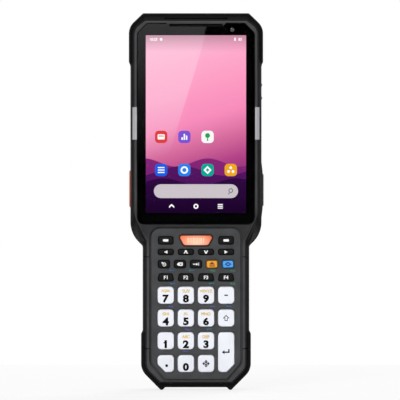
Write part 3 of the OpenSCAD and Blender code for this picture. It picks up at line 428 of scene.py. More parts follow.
def glowing(name, stops, low=0.0, high=1.0, lean=0.0):
    """Light of a screen whose colour goes through the stops (share of the way, colour) from low to
    high. Lean tilts its bands: how far they drop from left to right."""
    finish = bpy.data.materials.new(name)
    finish.use_nodes = True
    tree = finish.node_tree
    tree.nodes.remove(tree.nodes["Principled BSDF"])
    lit = tree.nodes.new("ShaderNodeEmission")
    lit.inputs["Strength"].default_value = screen_light
    tree.links.new(lit.outputs["Emission"], tree.nodes["Material Output"].inputs["Surface"])
    if len(stops) == 1:
        lit.inputs["Color"].default_value = stops[0][1]
        return finish
    place = tree.nodes.new("ShaderNodeTexCoord")
    upwards = tree.nodes.new("ShaderNodeVectorMath")
    upwards.operation = "DOT_PRODUCT"
    upwards.inputs[1].default_value = (-lean, 0, 1)
    tree.links.new(place.outputs["Object"], upwards.inputs[0])
    ramp = tree.nodes.new("ShaderNodeValToRGB")
    tree.links.new(ranged(tree, upwards.outputs["Value"], low, high), ramp.inputs["Fac"])
    for _ in stops[2:]:
        ramp.color_ramp.elements.new(0.5)
    for element, (share, colour) in zip(ramp.color_ramp.elements, stops):
        element.position = share
        element.color = colour
    tree.links.new(ramp.outputs["Color"], lit.inputs["Color"])
    return finish


def flat_layer(name, shapes, depth, finish):
    """A thin layer that faces the user. Each shape is a list of closed loops of (x, height), the first
    its outline and the others holes in it."""
    form = bmesh.new()
    for loops in shapes:
        edges = []
        for loop in loops:
            corners = [form.verts.new((x, -depth, height)) for x, height in loop]
            edges += [form.edges.new(ends) for ends in zip(corners, corners[1:] + corners[:1])]
        bmesh.ops.triangle_fill(form, use_beauty=True, use_dissolve=False, edges=edges,
            normal=(0, -1, 0))
    bmesh.ops.recalc_face_normals(form, faces=form.faces)
    for face in form.faces:
        if face.normal.y > 0:
            face.normal_flip()
    return shown(name, drawn(name, form), finish)


def flat_piece(name, shapes, depth, finish, body):
    """A thin layer that is part of the terminal."""
    carried(flat_layer(name, shapes, depth, finish), body)


def on_screen(name, shapes, depth, light):
    """A layer of the lit picture."""
    flat_piece(name, shapes, depth, light, "terminal")


def bar(x, height, width, tall, radius=0.0):
    """A rectangle about its middle, with its corners rounded by radius."""
    if not radius:
        return [(x - width / 2, height - tall / 2), (x + width / 2, height - tall / 2),
            (x + width / 2, height + tall / 2), (x - width / 2, height + tall / 2)]
    points = []
    for quarter, (side, end) in enumerate([(1, 1), (-1, 1), (-1, -1), (1, -1)]):
        for step in range(7):
            angle = math.radians(90 * quarter + 15 * step)
            points.append((x + side * (width / 2 - radius) + radius * math.cos(angle),
                height + end * (tall / 2 - radius) + radius * math.sin(angle)))
    return points


def disc(x, height, radius, corners=28):
    """A circle."""
    turns = [2 * math.pi * k / corners for k in range(corners)]
    return [(x + radius * math.cos(turn), height + radius * math.sin(turn)) for turn in turns]


sky = glowing("dusk_sky", [(0.1, tone(120, 36, 110)), (0.25, tone(180, 68, 136)),
    (0.37, tone(212, 106, 156)), (0.52, tone(248, 141, 188)), (0.69, tone(254, 156, 196)),
    (0.86, tone(255, 172, 206)), (1.0, tone(255, 188, 215))], picture_low, picture_top, 0.3)
# Painted reflection: a paler copy of the sky over the upper left, cut on the slant of the gauze's shine,
# lightens the picture where that shine lies on the glass.
painted_glare = glowing("dusk_painted_glare", [(0.37, tone(212, 106, 156)), (0.52, tone(248, 158, 197)),
    (0.69, tone(253, 179, 210)), (0.86, tone(254, 186, 213)), (1.0, tone(255, 194, 218))],
    picture_low, picture_top, 0.3)
on_screen("picture_sky", [[bar(0, picture_mid, picture_w, picture_h)]], panel_face + layer, sky)
glare_top, glare_foot, glare_low = 0.2 * picture_x, -0.56 * picture_x, picture_mid - 18 * MM
on_screen("picture_painted_glare", [[[(-picture_x, glare_low), (glare_foot, glare_low), (glare_top, picture_top),
    (-picture_x, picture_top)]]], panel_face + 1.2 * layer, painted_glare)

# The system's own strip at the top dims the picture, so that the white marks on it can be read.
strip_tall = 9 * MM
for light in (sky, painted_glare):
    tree = light.node_tree
    shade = ranged(tree, on_axis(tree, "Object", "Z"), picture_top - strip_tall, picture_top,
        screen_light, 0.6)
    tree.links.new(shade, tree.nodes["Emission"].inputs["Strength"])

WAVES = [
    ("far", 27 * MM, 2.2 * MM, 34 * MM, 0.4, tone(132, 38, 118), tone(96, 26, 104)),
    ("middle", 22.5 * MM, 2.6 * MM, 47 * MM, 2.6, tone(84, 22, 98), tone(52, 12, 72)),
    ("near", 16.5 * MM, 2.0 * MM, 39 * MM, 4.4, tone(46, 10, 64), tone(26, 4, 40)),
]
for order, (name, height, swell, length, phase, crest_colour, foot_colour) in enumerate(WAVES):
    crest = [(x, picture_low + height + swell * math.sin(2 * math.pi * x / length + phase))
        for x in [picture_x - picture_w * k / 40 for k in range(41)]]
    water = glowing("wave_" + name, [(0.0, foot_colour), (1.0, crest_colour)], picture_low,
        picture_low + height)
    on_screen("picture_wave_" + name, [[[(-picture_x, picture_low), (picture_x, picture_low)] + crest]],
        panel_face + (1.4 + 0.4 * order) * layer, water)

white_light = glowing("white_light", [(0, tone(255, 255, 255))])
icon_depth = panel_face + 3 * layer
mark_depth = panel_face + 3.8 * layer
tile = 6.6 * MM


def picture_tile(name, x, height, colour, mark, mark_light=white_light):
    """A tile of one colour with a plain mark. Mark gives its shapes about the tile's middle."""
    light = glowing("tile_" + name, [(0, colour)])
    on_screen("tile_" + name, [[bar(x, height, tile, tile, tile * 0.3)]], icon_depth, light)
    on_screen("tile_mark_" + name, mark(x, height), mark_depth, mark_light)


upper_tiles = picture_mid - 6.8 * MM
lower_tiles = picture_mid - 24.5 * MM
columns = [-18.6 * MM, -6.2 * MM, 6.2 * MM, 18.6 * MM]
picture_tile("blue", columns[0], lower_tiles, tone(20, 96, 232), lambda x, h: [
    [bar(x, h + k * 1.3 * MM, 3.6 * MM, 0.6 * MM)] for k in (-1, 0, 1)])
picture_tile("sky", columns[1], lower_tiles, tone(36, 130, 236), lambda x, h: [
    [disc(x, h, 2.0 * MM), disc(x, h, 1.1 * MM)]])
picture_tile("teal", columns[2], lower_tiles, tone(10, 168, 150), lambda x, h: [
    [disc(x, h, 2.2 * MM, 4), disc(x, h, 1.0 * MM, 4)]])
picture_tile("amber", columns[3], lower_tiles, tone(240, 168, 30), lambda x, h: [
    [disc(x + i * 1.2 * MM, h + j * MM, 0.75 * MM)] for i, j in ((-1, -0.8), (1, -0.8), (0, 1.2))])
picture_tile("red", columns[0], upper_tiles, tone(222, 62, 60), lambda x, h: [
    [bar(x, h, 3.8 * MM, 2.8 * MM, 0.5 * MM), bar(x, h + 0.45 * MM, 2.8 * MM, 0.5 * MM)]])
picture_tile("violet", columns[1], upper_tiles, tone(120, 84, 214), lambda x, h: [
    [bar(x + k * 1.2 * MM, h - 1.6 * MM + 0.5 * tall * MM, 0.8 * MM, tall * MM)]
    for k, tall in ((-1, 1.4), (0, 3.2), (1, 2.3))])
picture_tile("white", columns[2], upper_tiles, tone(248, 248, 250), lambda x, h: [
    [disc(x, h + 0.7 * MM, 1.3 * MM)], [bar(x, h - 1.4 * MM, 0.6 * MM, 1.5 * MM)]],
    glowing("leaf_green", [(0, tone(40, 160, 80))]))

search_h = picture_low + 11.7 * MM
on_screen("search_bar", [[bar(0, search_h, 45 * MM, 7.4 * MM, 3.69 * MM)]], icon_depth,
    glowing("search_white", [(0, tone(204, 196, 202))]))
search_x = columns[3]
on_screen("search_mark", [
    [disc(search_x, search_h + 0.3 * MM, 1.2 * MM), disc(search_x, search_h + 0.3 * MM, 0.8 * MM)],
    [[(17.9 * MM, search_h - 0.7 * MM), (17.1 * MM, search_h - 1.5 * MM),
        (17.4 * MM, search_h - 1.8 * MM), (18.2 * MM, search_h - 1.0 * MM)]]],
    mark_depth, glowing("search_grey", [(0, tone(96, 88, 104))]))

button_h = picture_low + 3.6 * MM
button_x = 13 * MM
on_screen("bottom_marks", [
    [[(-button_x - 1.4 * MM, button_h - 1.0 * MM), (-button_x, button_h + 0.3 * MM),
        (-button_x + 1.4 * MM, button_h - 1.0 * MM), (-button_x + 1.4 * MM, button_h),
        (-button_x, button_h + 1.3 * MM), (-button_x - 1.4 * MM, button_h)]],
    [disc(0, button_h, 1.35 * MM), disc(0, button_h, 0.65 * MM)]] + [
    [bar(button_x, button_h + k * 0.95 * MM, 2.7 * MM, 0.55 * MM)] for k in (-1, 0, 1)],
    mark_depth, white_light)


def letters(name, words, x, height, depth, tall, finish, body, weight=0.03, wide=1.0):
    """Printed characters of a given height about a middle point. Weight thickens their strokes and
    wide stretches them."""
    curve = bpy.data.curves.new(name, "FONT")
    curve.body = words
    curve.bevel_depth = weight
    curve.bevel_resolution = 0
    writing = bpy.data.objects.new(name, curve)
    bpy.context.scene.collection.objects.link(writing)
    bpy.context.view_layer.update()
    mesh = bpy.data.meshes.new_from_object(writing.evaluated_get(bpy.context.evaluated_depsgraph_get()))
    bpy.data.objects.remove(writing)
    lows = [min(v.co[axis] for v in mesh.vertices) for axis in (0, 1)]
    highs = [max(v.co[axis] for v in mesh.vertices) for axis in (0, 1)]
    size = tall / (highs[1] - lows[1])
    mesh.transform(Matrix.Translation((x, -depth, height)) @ Matrix.Rotation(math.pi / 2, 4, "X")
        @ Matrix.Diagonal((size * wide, size, size * 0.05, 1))
        @ Matrix.Translation((-(lows[0] + highs[0]) / 2, -(lows[1] + highs[1]) / 2, 0)))
    mesh.materials.clear()
    carried(shown(name, mesh, finish), body)


status_h = picture_top - 2.2 * MM
for name, words, x in (("status_time", "10:25", -22.6 * MM), ("status_charge", "85", 23.6 * MM)):
    letters(name, words, x, status_h, mark_depth, 1.5 * MM, white_light, "terminal")
cell_x = 20.9 * MM
on_screen("status_marks", [[disc(columns[0], status_h, 0.75 * MM)],
    [bar(cell_x, status_h, 0.9 * MM, 1.6 * MM)],
    [bar(cell_x, status_h + 0.95 * MM, 0.4 * MM, 0.25 * MM)]],
    mark_depth, white_light)

# ---- Cover glass and its ink ----
# Strengthened glass with cut upper corners, bonded into the front shell. Black ink is printed on its
# inner face all round the picture, with a clear spot over the front camera.

glass = bpy.data.materials.new("cover_glass")
glass.use_nodes = True
clear = glass.node_tree.nodes["Principled BSDF"]
clear.inputs["Base Color"].default_value = (1, 1, 1, 1)
clear.inputs["Transmission Weight"].default_value = 1
clear.inputs["IOR"].default_value = 1.5
smear = glass.node_tree.nodes.new("ShaderNodeTexNoise")
smear.inputs["Scale"].default_value = 60
smear_place = glass.node_tree.nodes.new("ShaderNodeTexCoord")
glass.node_tree.links.new(smear_place.outputs["Object"], smear.inputs["Vector"])
smear_gloss = ranged(glass.node_tree, smear.outputs["Fac"], 0, 1, 0.0, 0.03)
glass.node_tree.links.new(smear_gloss, clear.inputs["Roughness"])
dress(["touch_glass"], glass)

ink = moulded("black_ink", tone(5, 5, 6), 0.6, specular=0.0, cloud=0.3)


def back_outline(name):
    """The outline of the back face of a node, as a closed loop of (x, height)."""
    mesh = nodes[name].data
    edges = set()
    for face in mesh.polygons:
        if face.normal.y > 0.99:
            places = [mesh.vertices[v].co for v in face.vertices]
            corners = [(round(place.x, 6), round(place.z, 6)) for place in places]
            edges.update(zip(corners, corners[1:] + corners[:1]))
    follows = {start: end for start, end in edges if (end, start) not in edges}
    first = next(iter(sorted(follows)))
    loop = [first]
    while follows[loop[-1]] != first:
        loop.append(follows[loop[-1]])
    return loop


def drawn_in(loop, by):
    """A closed loop moved inwards by a small distance."""
    points = [Vector(point) for point in loop]
    area = sum(a.x * b.y - b.x * a.y for a, b in zip(points, points[1:] + points[:1]))
    inner = []
    for before, here, after in zip(points[-1:] + points[:-1], points, points[1:] + points[:1]):
        sides = [(here - before).normalized(), (after - here).normalized()]
        inwards = [Vector((-side.y, side.x)) * (1 if area > 0 else -1) for side in sides]
        inner.append(tuple(here + (inwards[0] + inwards[1]) * by / (1 + inwards[0].dot(inwards[1]))))
    return inner


glass_outline = back_outline("touch_glass")
ink_outline = drawn_in(glass_outline, 0.03 * MM)
ink_depth = panel_face + 4.8 * layer
flat_piece("glass_ink", [[ink_outline, bar(0, picture_mid, picture_w, picture_h),
    disc(camera_x, camera_h, 1.3 * MM)]], ink_depth, ink, "terminal")


def framed(name, outline, profile, finish, body):
    """A moulded cord laid along an outline. Its section is a closed line of (distance in from the
    outline, depth) in millimetres."""
    form = bmesh.new()
    rings = [[form.verts.new((x, -depth * MM, height)) for x, height in drawn_in(outline, inset * MM)]
        for inset, depth in profile]
    for one, other in zip(rings, rings[1:] + rings[:1]):
        for k in range(len(outline)):
            form.faces.new((one[k - 1], one[k], other[k], other[k - 1]))
    bmesh.ops.recalc_face_normals(form, faces=form.faces)
    carried(shown(name, drawn(name, form), finish), body)


# The adhesive bead fills the gap round the glass and laps over its broken edge.
glass_front = -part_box("touch_glass")[0].y / MM
framed("glass_bead", glass_outline, [(-0.13, glass_front - 0.75), (-0.13, glass_front - 0.15),
    (0.08, glass_front - 0.01), (0.3, glass_front + 0.03), (0.3, glass_front + 0.005),
    (0.25, glass_front + 0.005), (-0.01, glass_front - 0.25), (-0.01, glass_front - 0.75)],
    seal_rubber, "terminal")

# ---- Light guides ----
# Two satin bars of clouded polycarbonate beside the display spread the light of the charge and scan
# lamps. They are pressed into the ridge from behind.

guide_silver = metal("guide_silver", tone(168, 168, 172), 0.32, grain=0.5, relief=0.004, metallic=0.55)
dress(["light_guides"], guide_silver)

# ---- Keypad bezel ----
# A moulded plate of the same charcoal holds the keys. Small second-function marks are printed on it in
# blue, teal, violet and green between the rows.

# Its edges carry a painted highlight, as on the shell.
panel_grey = moulded("keypad_panel", tone(72, 73, 74), 0.7, grain=0.25, specular=0.05, painted_highlight=0.4)
dress(["keypad_bezel"], panel_grey)
soften(["keypad_bezel"], 0.1)
bezel_face = -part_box("keypad_bezel")[0].y
print_lift = 0.012 * MM

# Each mark is a dot with a dash. The dash stands a little higher in the second and fourth colour, and
# has another below it in the last two. Places are in millimetres.
PRINTS = [
    ("blue", tone(32, 98, 156), [(-12.9, 63.9), (-12.4, 56.9), (17.6, 44.8)]),
    ("teal", tone(32, 118, 132), [(-2.3, 63.9), (8.4, 56.9), (7.2, 32.5)]),
    ("violet", tone(84, 76, 150), [(-13.3, 44.8), (9.0, 44.8), (-4.4, 32.5), (-5.5, 20.9)]),
    ("green", tone(48, 122, 84), [(9.0, 63.9), (19.7, 63.9), (19.7, 56.9)]),
]
for order, (name, colour, places) in enumerate(PRINTS):
    paint = moulded("print_" + name, colour, 0.5)
    shapes = []
    for x, height in places:
        x, height = x * MM, height * MM
        shapes.append([disc(x - 0.9 * MM, height, 0.45 * MM, 12)])
        shapes.append([bar(x + 0.5 * MM, height + (0.2 if order % 2 else 0) * MM, 1.5 * MM, 0.35 * MM)])
        if order > 1:
            shapes.append([bar(x + 0.5 * MM, height - 0.45 * MM, 1.5 * MM, 0.25 * MM)])
    flat_piece("panel_prints_" + name, shapes, bezel_face + print_lift, paint, "terminal")

# ---- Keys ----
# Hard caps stand on a silicone sheet and come through the bezel. The number keys are glossy white with
# printed digits, the others black, orange, yellow and blue. The print is baked ink on the flat top.

white_cap = moulded("white_cap", tone(240, 242, 250), 0.22, grain=1.5, relief=0.001, cloud=0.02,
    specular=0.4)
black_cap = moulded("black_cap", tone(16, 16, 17), 0.45, grain=0.8, relief=0.002, specular=0.08)
orange_cap = moulded("orange_cap", tone(240, 108, 56), 0.3, grain=0.8, relief=0.002, specular=0.4)
yellow_cap = moulded("yellow_cap", tone(240, 164, 26), 0.3, grain=0.8, relief=0.002, specular=0.4)
blue_cap = moulded("blue_cap", tone(70, 168, 240), 0.3, grain=0.8, relief=0.002, specular=0.4)


def paler_middle(finish, middle, reach, colour):
    """Fades a colour in towards a middle point, from nothing at the reach (across, up) of an oval."""
    tree = finish.node_tree
    base = tree.nodes["Principled BSDF"].inputs["Base Color"]
    painted = base.links[0].from_socket
    oval = tree.nodes.new("ShaderNodeMapping")
    oval.vector_type = "TEXTURE"
    oval.inputs["Location"].default_value = (middle[0], 0, middle[1])
    oval.inputs["Scale"].default_value = (reach[0], 1e3, reach[1])
    tree.links.new(tree.nodes.new("ShaderNodeTexCoord").outputs["Object"], oval.inputs["Vector"])
    reached = tree.nodes.new("ShaderNodeTexGradient")
    reached.gradient_type = "SPHERICAL"
    tree.links.new(oval.outputs["Vector"], reached.inputs["Vector"])
    tree.links.new(mixed(tree, reached.outputs["Fac"], painted, colour), base)


scan_low, scan_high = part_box("scan_key")
scan_mid = (scan_low.x + scan_high.x) / 2
paler_middle(orange_cap, (scan_mid, scan_low.z + 2.2 * MM), (9.5 * MM, 5.4 * MM), tone(255, 216, 186))
# Painted shade on the sloping sides of the orange, yellow and blue caps.
dark_flanks(orange_cap, tone(84, 26, 14), 0.999, 0.95)
dark_flanks(yellow_cap, tone(150, 92, 18), 0.97, 0.85)
dark_flanks(blue_cap, tone(26, 86, 160), 0.97, 0.85)

WHITE_KEYS = ["key_%d" % digit for digit in range(10)] + ["minus_key", "shift_key", "enter_key",
    "point_key", "target_key"]
BLACK_KEYS = ["soft_key_left", "soft_key_right", "arrow_left_key", "arrow_up_key", "arrow_down_key",
    "arrow_right_key", "escape_key", "backspace_key", "tab_key", "f1_key", "f2_key", "f3_key", "f4_key"]
CAPS = [(WHITE_KEYS, white_cap), (BLACK_KEYS, black_cap), (["scan_key"], orange_cap),
    (["alpha_key"], yellow_cap), (["function_key"], blue_cap)]
for keys, cap in CAPS:
    dress(keys, cap)
    for key in keys:
        nodes[key].modifiers.new("join", "WELD").merge_threshold = 0.001 * MM
        nodes[key].modifiers.new("shading", "WEIGHTED_NORMAL")

black_print = moulded("black_print", tone(8, 8, 10), 0.6, cloud=0.05, specular=0.05)
white_print = moulded("white_print", tone(244, 244, 244), 0.5, cloud=0.03)
orange_print = moulded("orange_print", tone(240, 198, 92), 0.5, cloud=0.05)
maroon_print = moulded("maroon_print", tone(110, 34, 16), 0.5, cloud=0.05)
navy_print = moulded("navy_print", tone(14, 60, 140), 0.5, cloud=0.05)


def key_middle(key):
    """The middle (x, height) and the height of the top of a key."""
    low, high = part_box(key)
    return (low.x + high.x) / 2, (low.z + high.z) / 2, -low.y


LETTER_GROUPS = {2: "ABC", 3: "DEF", 4: "GHI", 5: "JKL", 6: "MNO", 7: "PQRS", 8: "TUV", 9: "WXYZ"}
digit_tall, letter_tall, legend_tall = 4.2 * MM, 1.7 * MM, 2.0 * MM
for digit in range(10):
    key = "key_%d" % digit
    x, height, top = key_middle(key)
    letters(key + "_digit", str(digit), x, height - 1.8 * MM, top + print_lift, digit_tall,
        black_print, key, weight=0.055, wide=1.14)
    if digit in LETTER_GROUPS:
        letters(key + "_letters", LETTER_GROUPS[digit], x, height + 2.2 * MM, top + print_lift,
            letter_tall, orange_print, key, weight=0.045)


def key_mark(key, paint, draw, kind="_mark"):
    """A printed mark. Draw gives its shapes in millimetres from the middle of the key."""
    x, height, top = key_middle(key)
    shapes = [[[(x + dx * MM, height + dh * MM) for dx, dh in loop] for loop in loops]
        for loops in draw]
    flat_piece(key + kind, shapes, top + print_lift, paint, key)


# The printed 1 gets its short upper stroke, which the plain lettering lacks.
key_mark("key_1", black_print, [
    [[(0.1, 0.15), (-0.2, 0.15), (-0.2, -1.1), (-1.0, -1.55), (-1.25, -1.05)]]], "_flag")
for number in range(1, 5):
    key = "f%d_key" % number
    x, height, top = key_middle(key)
    letters(key + "_legend", "F%d" % number, x, height, top + print_lift, legend_tall, white_print,
        key)
for key in ("soft_key_left", "soft_key_right"):
    key_mark(key, white_print, [[bar(0, 0, 2.9, 1.3, 0.4)]])
key_mark("arrow_left_key", white_print, [[[(0.9, -0.9), (0.9, 0.9), (-0.9, 0)]]])
key_mark("arrow_right_key", white_print, [[[(-0.9, -0.9), (0.9, 0), (-0.9, 0.9)]]])
for key, up in (("arrow_up_key", 1), ("arrow_down_key", -1)):
    key_mark(key, white_print, [[[(-1.15, -0.85 * up), (-0.5, -0.85 * up), (0, 0.3 * up),
        (0.5, -0.85 * up), (1.15, -0.85 * up), (0.3, 0.95 * up), (-0.3, 0.95 * up)]]])
scan_bars = [(-4.2, 0.7), (-3.1, 0.4), (-2.3, 0.4), (-1.2, 0.9), (-0.1, 0.4), (0.8, 0.6), (1.9, 0.4),
    (2.8, 0.8), (4.1, 0.5)]
key_mark("scan_key", moulded("peach_print", tone(255, 214, 180), 0.5, cloud=0.04),
    [[bar(dx, 0, width, 2.6)] for dx, width in scan_bars])
key_mark("escape_key", white_print, [
    [disc(0.2, -0.2, 1.0), disc(0.2, -0.2, 0.7)],
    [[(-1.2, 1.1), (-1.2, 0.2), (-0.9, 0.5), (0.1, -0.5), (0.4, -0.2), (-0.6, 0.8), (-0.3, 1.1)]]])
key_mark("backspace_key", white_print, [
    [[(-1.7, 0), (-0.7, -0.9), (1.5, -0.9), (1.5, 0.9), (-0.7, 0.9)],
     [(0.4, 0.2), (0.8, 0.6), (1.0, 0.4), (0.6, 0), (1.0, -0.4), (0.8, -0.6), (0.4, -0.2), (0, -0.6),
      (-0.2, -0.4), (0.2, 0), (-0.2, 0.4), (0, 0.6)]]])
key_mark("tab_key", white_print, [
    [[(-1.6, -0.2), (0.2, -0.2), (0.2, -0.8), (1.1, 0), (0.2, 0.8), (0.2, 0.2), (-1.6, 0.2)]],
    [bar(1.45, 0, 0.3, 1.7)]])
key_mark("alpha_key", maroon_print, [
    [[(-1.5, -0.2), (1.5, -0.2), (0, 1.4)]], [bar(0, -0.95, 3.0, 0.6)]])
key_mark("function_key", navy_print, [
    [[(0, -1.3), (1.9, 0), (0, 1.3), (-1.9, 0)], [(0, -0.5), (-0.75, 0), (0, 0.5), (0.75, 0)]]])
key_mark("minus_key", black_print, [[bar(0, 0, 1.9, 0.65)]])
key_mark("point_key", black_print, [[disc(0.5, -1.1, 0.75)]])
key_mark("shift_key", black_print, [
    [[(0, 1.7), (1.8, -0.1), (0.8, -0.1), (0.8, -1.5), (-0.8, -1.5), (-0.8, -0.1), (-1.8, -0.1)],
     [(0, 1.1), (-1.0, 0.2), (-0.5, 0.2), (-0.5, -1.1), (0.5, -1.1), (0.5, 0.2), (1.0, 0.2)]]])
key_mark("enter_key", black_print, [
    [[(-2.3, 0), (-0.9, -1.1), (-0.9, -0.35), (1.8, -0.35), (1.8, 1.6), (1.1, 1.6), (1.1, 0.35),
      (-0.9, 0.35), (-0.9, 1.1)]]])
key_mark("target_key", black_print, [
    [[(0, 2.0), (-1.0, 1.0), (1.0, 1.0)]], [[(0, -2.0), (1.0, -1.0), (-1.0, -1.0)]],
    [[(2.0, 0), (1.0, 1.0), (1.0, -1.0)]], [[(-2.0, 0), (-1.0, -1.0), (-1.0, 1.0)]],
    [disc(0, 0, 0.9), disc(0, 0, 0.35)]])

# ---- Scan window and engine ----
# A dark red window of hard-coated acrylic closes the top end. The engine behind it looks out through
# two lenses, one of them for the aiming light.

dress(["scan_engine"], black_plastic)
window_low, window_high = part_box("scan_window")
lens_y = (window_low.y + window_high.y) / 2
lens_sunk = 1.1 * MM
lens_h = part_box("scan_engine")[1].z - lens_sunk
aiming_red = moulded("aiming_lens", tone(150, 16, 24), 0.05, grain=3, relief=0.0002, specular=0.6,
    coat=1.0)
for name, x, coat in (("scan_lens", -6 * MM, lens_coat), ("aiming_lens", 5 * MM, aiming_red)):
    turned(name, dome(2.05, 0.5), (x, lens_y, lens_h), (0, 0, 1), coat, "terminal")
window = moulded("scan_window", tone(128, 6, 16), 0.08, grain=6, relief=0.0003, specular=0.35)
window.node_tree.nodes["Principled BSDF"].inputs["Alpha"].default_value = 0.5
dress(["scan_window"], window)

# ---- Side port ----
# A nickel-plated socket sits behind a rubber cover that hinges on a steel pin. Its moulded tongue
# carries twelve gold-plated contacts, which show on both of its faces.

dress(["usb_port"], metal("port_nickel", tone(180, 180, 182), 0.3))
dress(["port_cover"], guard_rubber)
dress(["port_cover_pin"], steel)
soften(["port_cover"], 0.15)
port_low, port_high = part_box("usb_port")
port_mid = (port_low + port_high) / 2


def block(name, low, high, finish, body, cut):
    """A moulded or stamped block with broken edges. Its corners and its cut are in millimetres."""
    form = bmesh.new()
    bmesh.ops.create_cube(form, size=1)
    sides = [(b - a) * MM for a, b in zip(low, high)]
    middle = [(a + b) / 2 * MM for a, b in zip(low, high)]
    form.transform(Matrix.Translation(middle) @ Matrix.Diagonal(sides + [1]))
    bmesh.ops.bevel(form, geom=form.edges[:], offset=cut * MM, segments=2, affect="EDGES", profile=0.5)
    carried(shown(name, drawn(name, form), finish), body)


tongue_x0, tongue_x1 = port_low.x / MM + 1.0, port_high.x / MM - 1.55
tongue_y, tongue_z = port_mid.y / MM, port_mid.z / MM
half_thick, half_wide = 0.35, 3.3
block("port_tongue", (tongue_x0, tongue_y - half_thick, tongue_z - half_wide),
    (tongue_x1, tongue_y + half_thick, tongue_z + half_wide), black_plastic, "terminal",
    0.12)
contact_gold = metal("contact_gold", tone(226, 178, 90), 0.25)
contact_pitch, half_contact, half_gold = 0.5, 0.13, 0.38
for k in range(12):
    z = tongue_z + (k - 5.5) * contact_pitch
    block("port_contact_%d" % (k + 1), (tongue_x0 + 0.3, tongue_y - half_gold, z - half_contact),
        (tongue_x1 - 0.1, tongue_y + half_gold, z + half_contact), contact_gold, "terminal",
        0.02)

# ---- Side controls ----
# The left scan button is orange and the right one black, both hard caps that slide in the side walls.
# The volume rocker above the black one is a cap of the same plastic on its own axle.

dress(["scan_button"], moulded("orange_button", tone(206, 96, 36), 0.38, grain=0.5, relief=0.003,
    specular=0.35))
dress(["side_button", "volume_rocker"], moulded("black_button", tone(30, 30, 31), 0.45, grain=0.5,
    relief=0.003, specular=0.3))

# ---- Battery pack, lock and contacts ----
# The pack hooks in at its lower end and swings up into its bay, and a slider holds its upper end. Its
# contacts and those of the cradle are gold-plated, and the strap inserts are knurled brass.

dress(["battery_pack"], back_charcoal)
soften(["battery_pack", "battery_lock"], 0.15)
dress(["battery_lock"], moulded("lock_grey", tone(118, 118, 122), 0.5, grain=0.3))
dress(["contact_pins"], metal("gold_plate", tone(226, 178, 90), 0.25))
dress(["strap_inserts"], metal("insert_brass", tone(198, 160, 92), 0.35))

# ---- Floor and surround ----
# A pale matt studio table, wide enough to run out of view, under a white surround. The table keeps the
# shadow of the terminal and is lit from within just enough to meet the white behind it.

form = bmesh.new()
bmesh.ops.create_grid(form, x_segments=4, y_segments=4, size=0.45)
table = bpy.data.materials.new("pale_table")
table.use_nodes = True
tree = table.node_tree
table_shader = tree.nodes["Principled BSDF"]
table_shader.inputs["Base Color"].default_value = tone(238, 238, 238)
table_shader.inputs["Roughness"].default_value = 0.9
table_shader.inputs["Specular IOR Level"].default_value = 0.0
white_table = tree.nodes.new("ShaderNodeEmission")
rays = tree.nodes.new("ShaderNodeLightPath")
seen = worked(tree, "MAXIMUM", rays.outputs["Is Camera Ray"], rays.outputs["Is Glossy Ray"])
blend = tree.nodes.new("ShaderNodeMixShader")
tree.links.new(worked(tree, "MULTIPLY", seen, 0.8), blend.inputs["Fac"])
tree.links.new(table_shader.outputs["BSDF"], blend.inputs[1])
tree.links.new(white_table.outputs["Emission"], blend.inputs[2])
tree.links.new(blend.outputs["Shader"], tree.nodes["Material Output"].inputs["Surface"])
shown("floor", drawn("floor", form), table)

world = bpy.data.worlds.new("studio")
bpy.context.scene.world = world
world.use_nodes = True
tree = world.node_tree
soft = tree.nodes["Background"]
soft.inputs["Color"].default_value = (1, 1, 1, 1)
soft.inputs["Strength"].default_value = 0.2
white = tree.nodes.new("ShaderNodeBackground")
white.inputs["Color"].default_value = (1, 1, 1, 1)
white.inputs["Strength"].default_value = 1
rays = tree.nodes.new("ShaderNodeLightPath")
seen = rays.outputs["Is Camera Ray"]
for kind in ("Is Glossy Ray", "Is Transmission Ray"):
    seen = worked(tree, "MAXIMUM", seen, rays.outputs[kind])
surround = tree.nodes.new("ShaderNodeMixShader")
tree.links.new(seen, surround.inputs["Fac"])
tree.links.new(soft.outputs["Background"], surround.inputs[1])
tree.links.new(white.outputs["Background"], surround.inputs[2])
tree.links.new(surround.outputs["Shader"], tree.nodes["World Output"].inputs["Surface"])

# ---- Lamps ----
# One large soft lamp stands to the front left and a weaker one to the right. One behind and one above
# the terminal part its edges from the white.

lamp_aim = 0.1


def soft_lamp(name, place, power, size=0.8):
    """A square lamp that faces the middle of the terminal."""
    light = bpy.data.lights.new(name, "AREA")
    light.energy = power
    light.size = size
    lamp = bpy.data.objects.new(name, light)
    bpy.context.scene.collection.objects.link(lamp)
    lamp.location = place
    aim = (0 - place[0], 0 - place[1], lamp_aim - place[2])
    distance = math.sqrt(sum(v * v for v in aim))
    lamp.rotation_euler = (math.acos(-aim[2] / distance), 0, math.atan2(aim[1], aim[0]) - math.pi / 2)


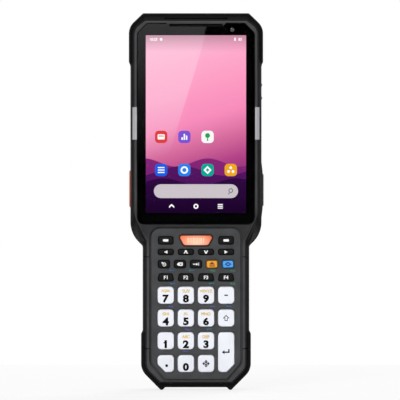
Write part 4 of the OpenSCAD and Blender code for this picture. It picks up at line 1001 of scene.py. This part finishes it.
soft_lamp("key_lamp", (-0.7, -2.4, 1.0), 38)
soft_lamp("fill_lamp", (0.9, -2.4, 0.3), 8)
soft_lamp("back_lamp", (0.6, 2.2, 1.2), 40)
soft_lamp("top_lamp", (0.0, 0.3, 2.4), 18)

# ---- Flag and gauze ----
# The glass mirrors a black flag that hangs in front of it. The flag's cut corner is a grey gauze, whose
# reflection is the slanting shine on the upper left of the glass.

view_x, view_h = 0.00216, 0.10157
stand_off = 3.0
face_y = 0.017
flag_y = 0.617
widening = 1 + (flag_y - face_y) / stand_off


def mirrored(x, height):
    """Where something hangs in the flag's plane that the camera sees at (x, height) in the glass."""
    return view_x + (x * MM - view_x) * widening, view_h + (height * MM - view_h) * widening


flag_top, gauze_top, gauze_foot, flag_foot, flag_side = 198, 197, 120, 86, 40
flag_black = glowing("flag_black", [(0, tone(0, 0, 0))])
gauze = glowing("gauze", [(0.0, tone(0, 0, 0)), (0.45, tone(84, 84, 86)), (1.0, tone(176, 176, 178))],
    mirrored(0, gauze_foot)[1], mirrored(0, gauze_top)[1])
slant_top, slant_foot = mirrored(6.5, flag_top), mirrored(-12.5, gauze_foot)
left_foot = mirrored(-flag_side, gauze_foot)
flag = flat_layer("flag", [[[slant_top, slant_foot, left_foot, mirrored(-flag_side, flag_foot),
    mirrored(flag_side, flag_foot), mirrored(flag_side, flag_top)]]], flag_y, flag_black)
shine = flat_layer("gauze", [[[slant_top, slant_foot, left_foot, mirrored(-flag_side, flag_top)]]],
    flag_y, gauze)
for hung in (flag, shine):
    hung.visible_camera = hung.visible_diffuse = hung.visible_shadow = False

# ---- Camera ----
# A long lens 3 m in front of the terminal's face and level with its middle, so that near and far parts
# come out at nearly the same scale.

field = 0.2136
view = bpy.data.cameras.new("view")
view.sensor_width = 36
view.lens = view.sensor_width * stand_off / field
view.clip_start = 0.1
view.clip_end = 20
camera = bpy.data.objects.new("camera", view)
bpy.context.scene.collection.objects.link(camera)
camera.location = (view_x, -stand_off - face_y, view_h)
camera.rotation_euler = (math.pi / 2, 0, 0)
bpy.context.scene.camera = camera
bpy.context.scene.view_settings.view_transform = "Standard"
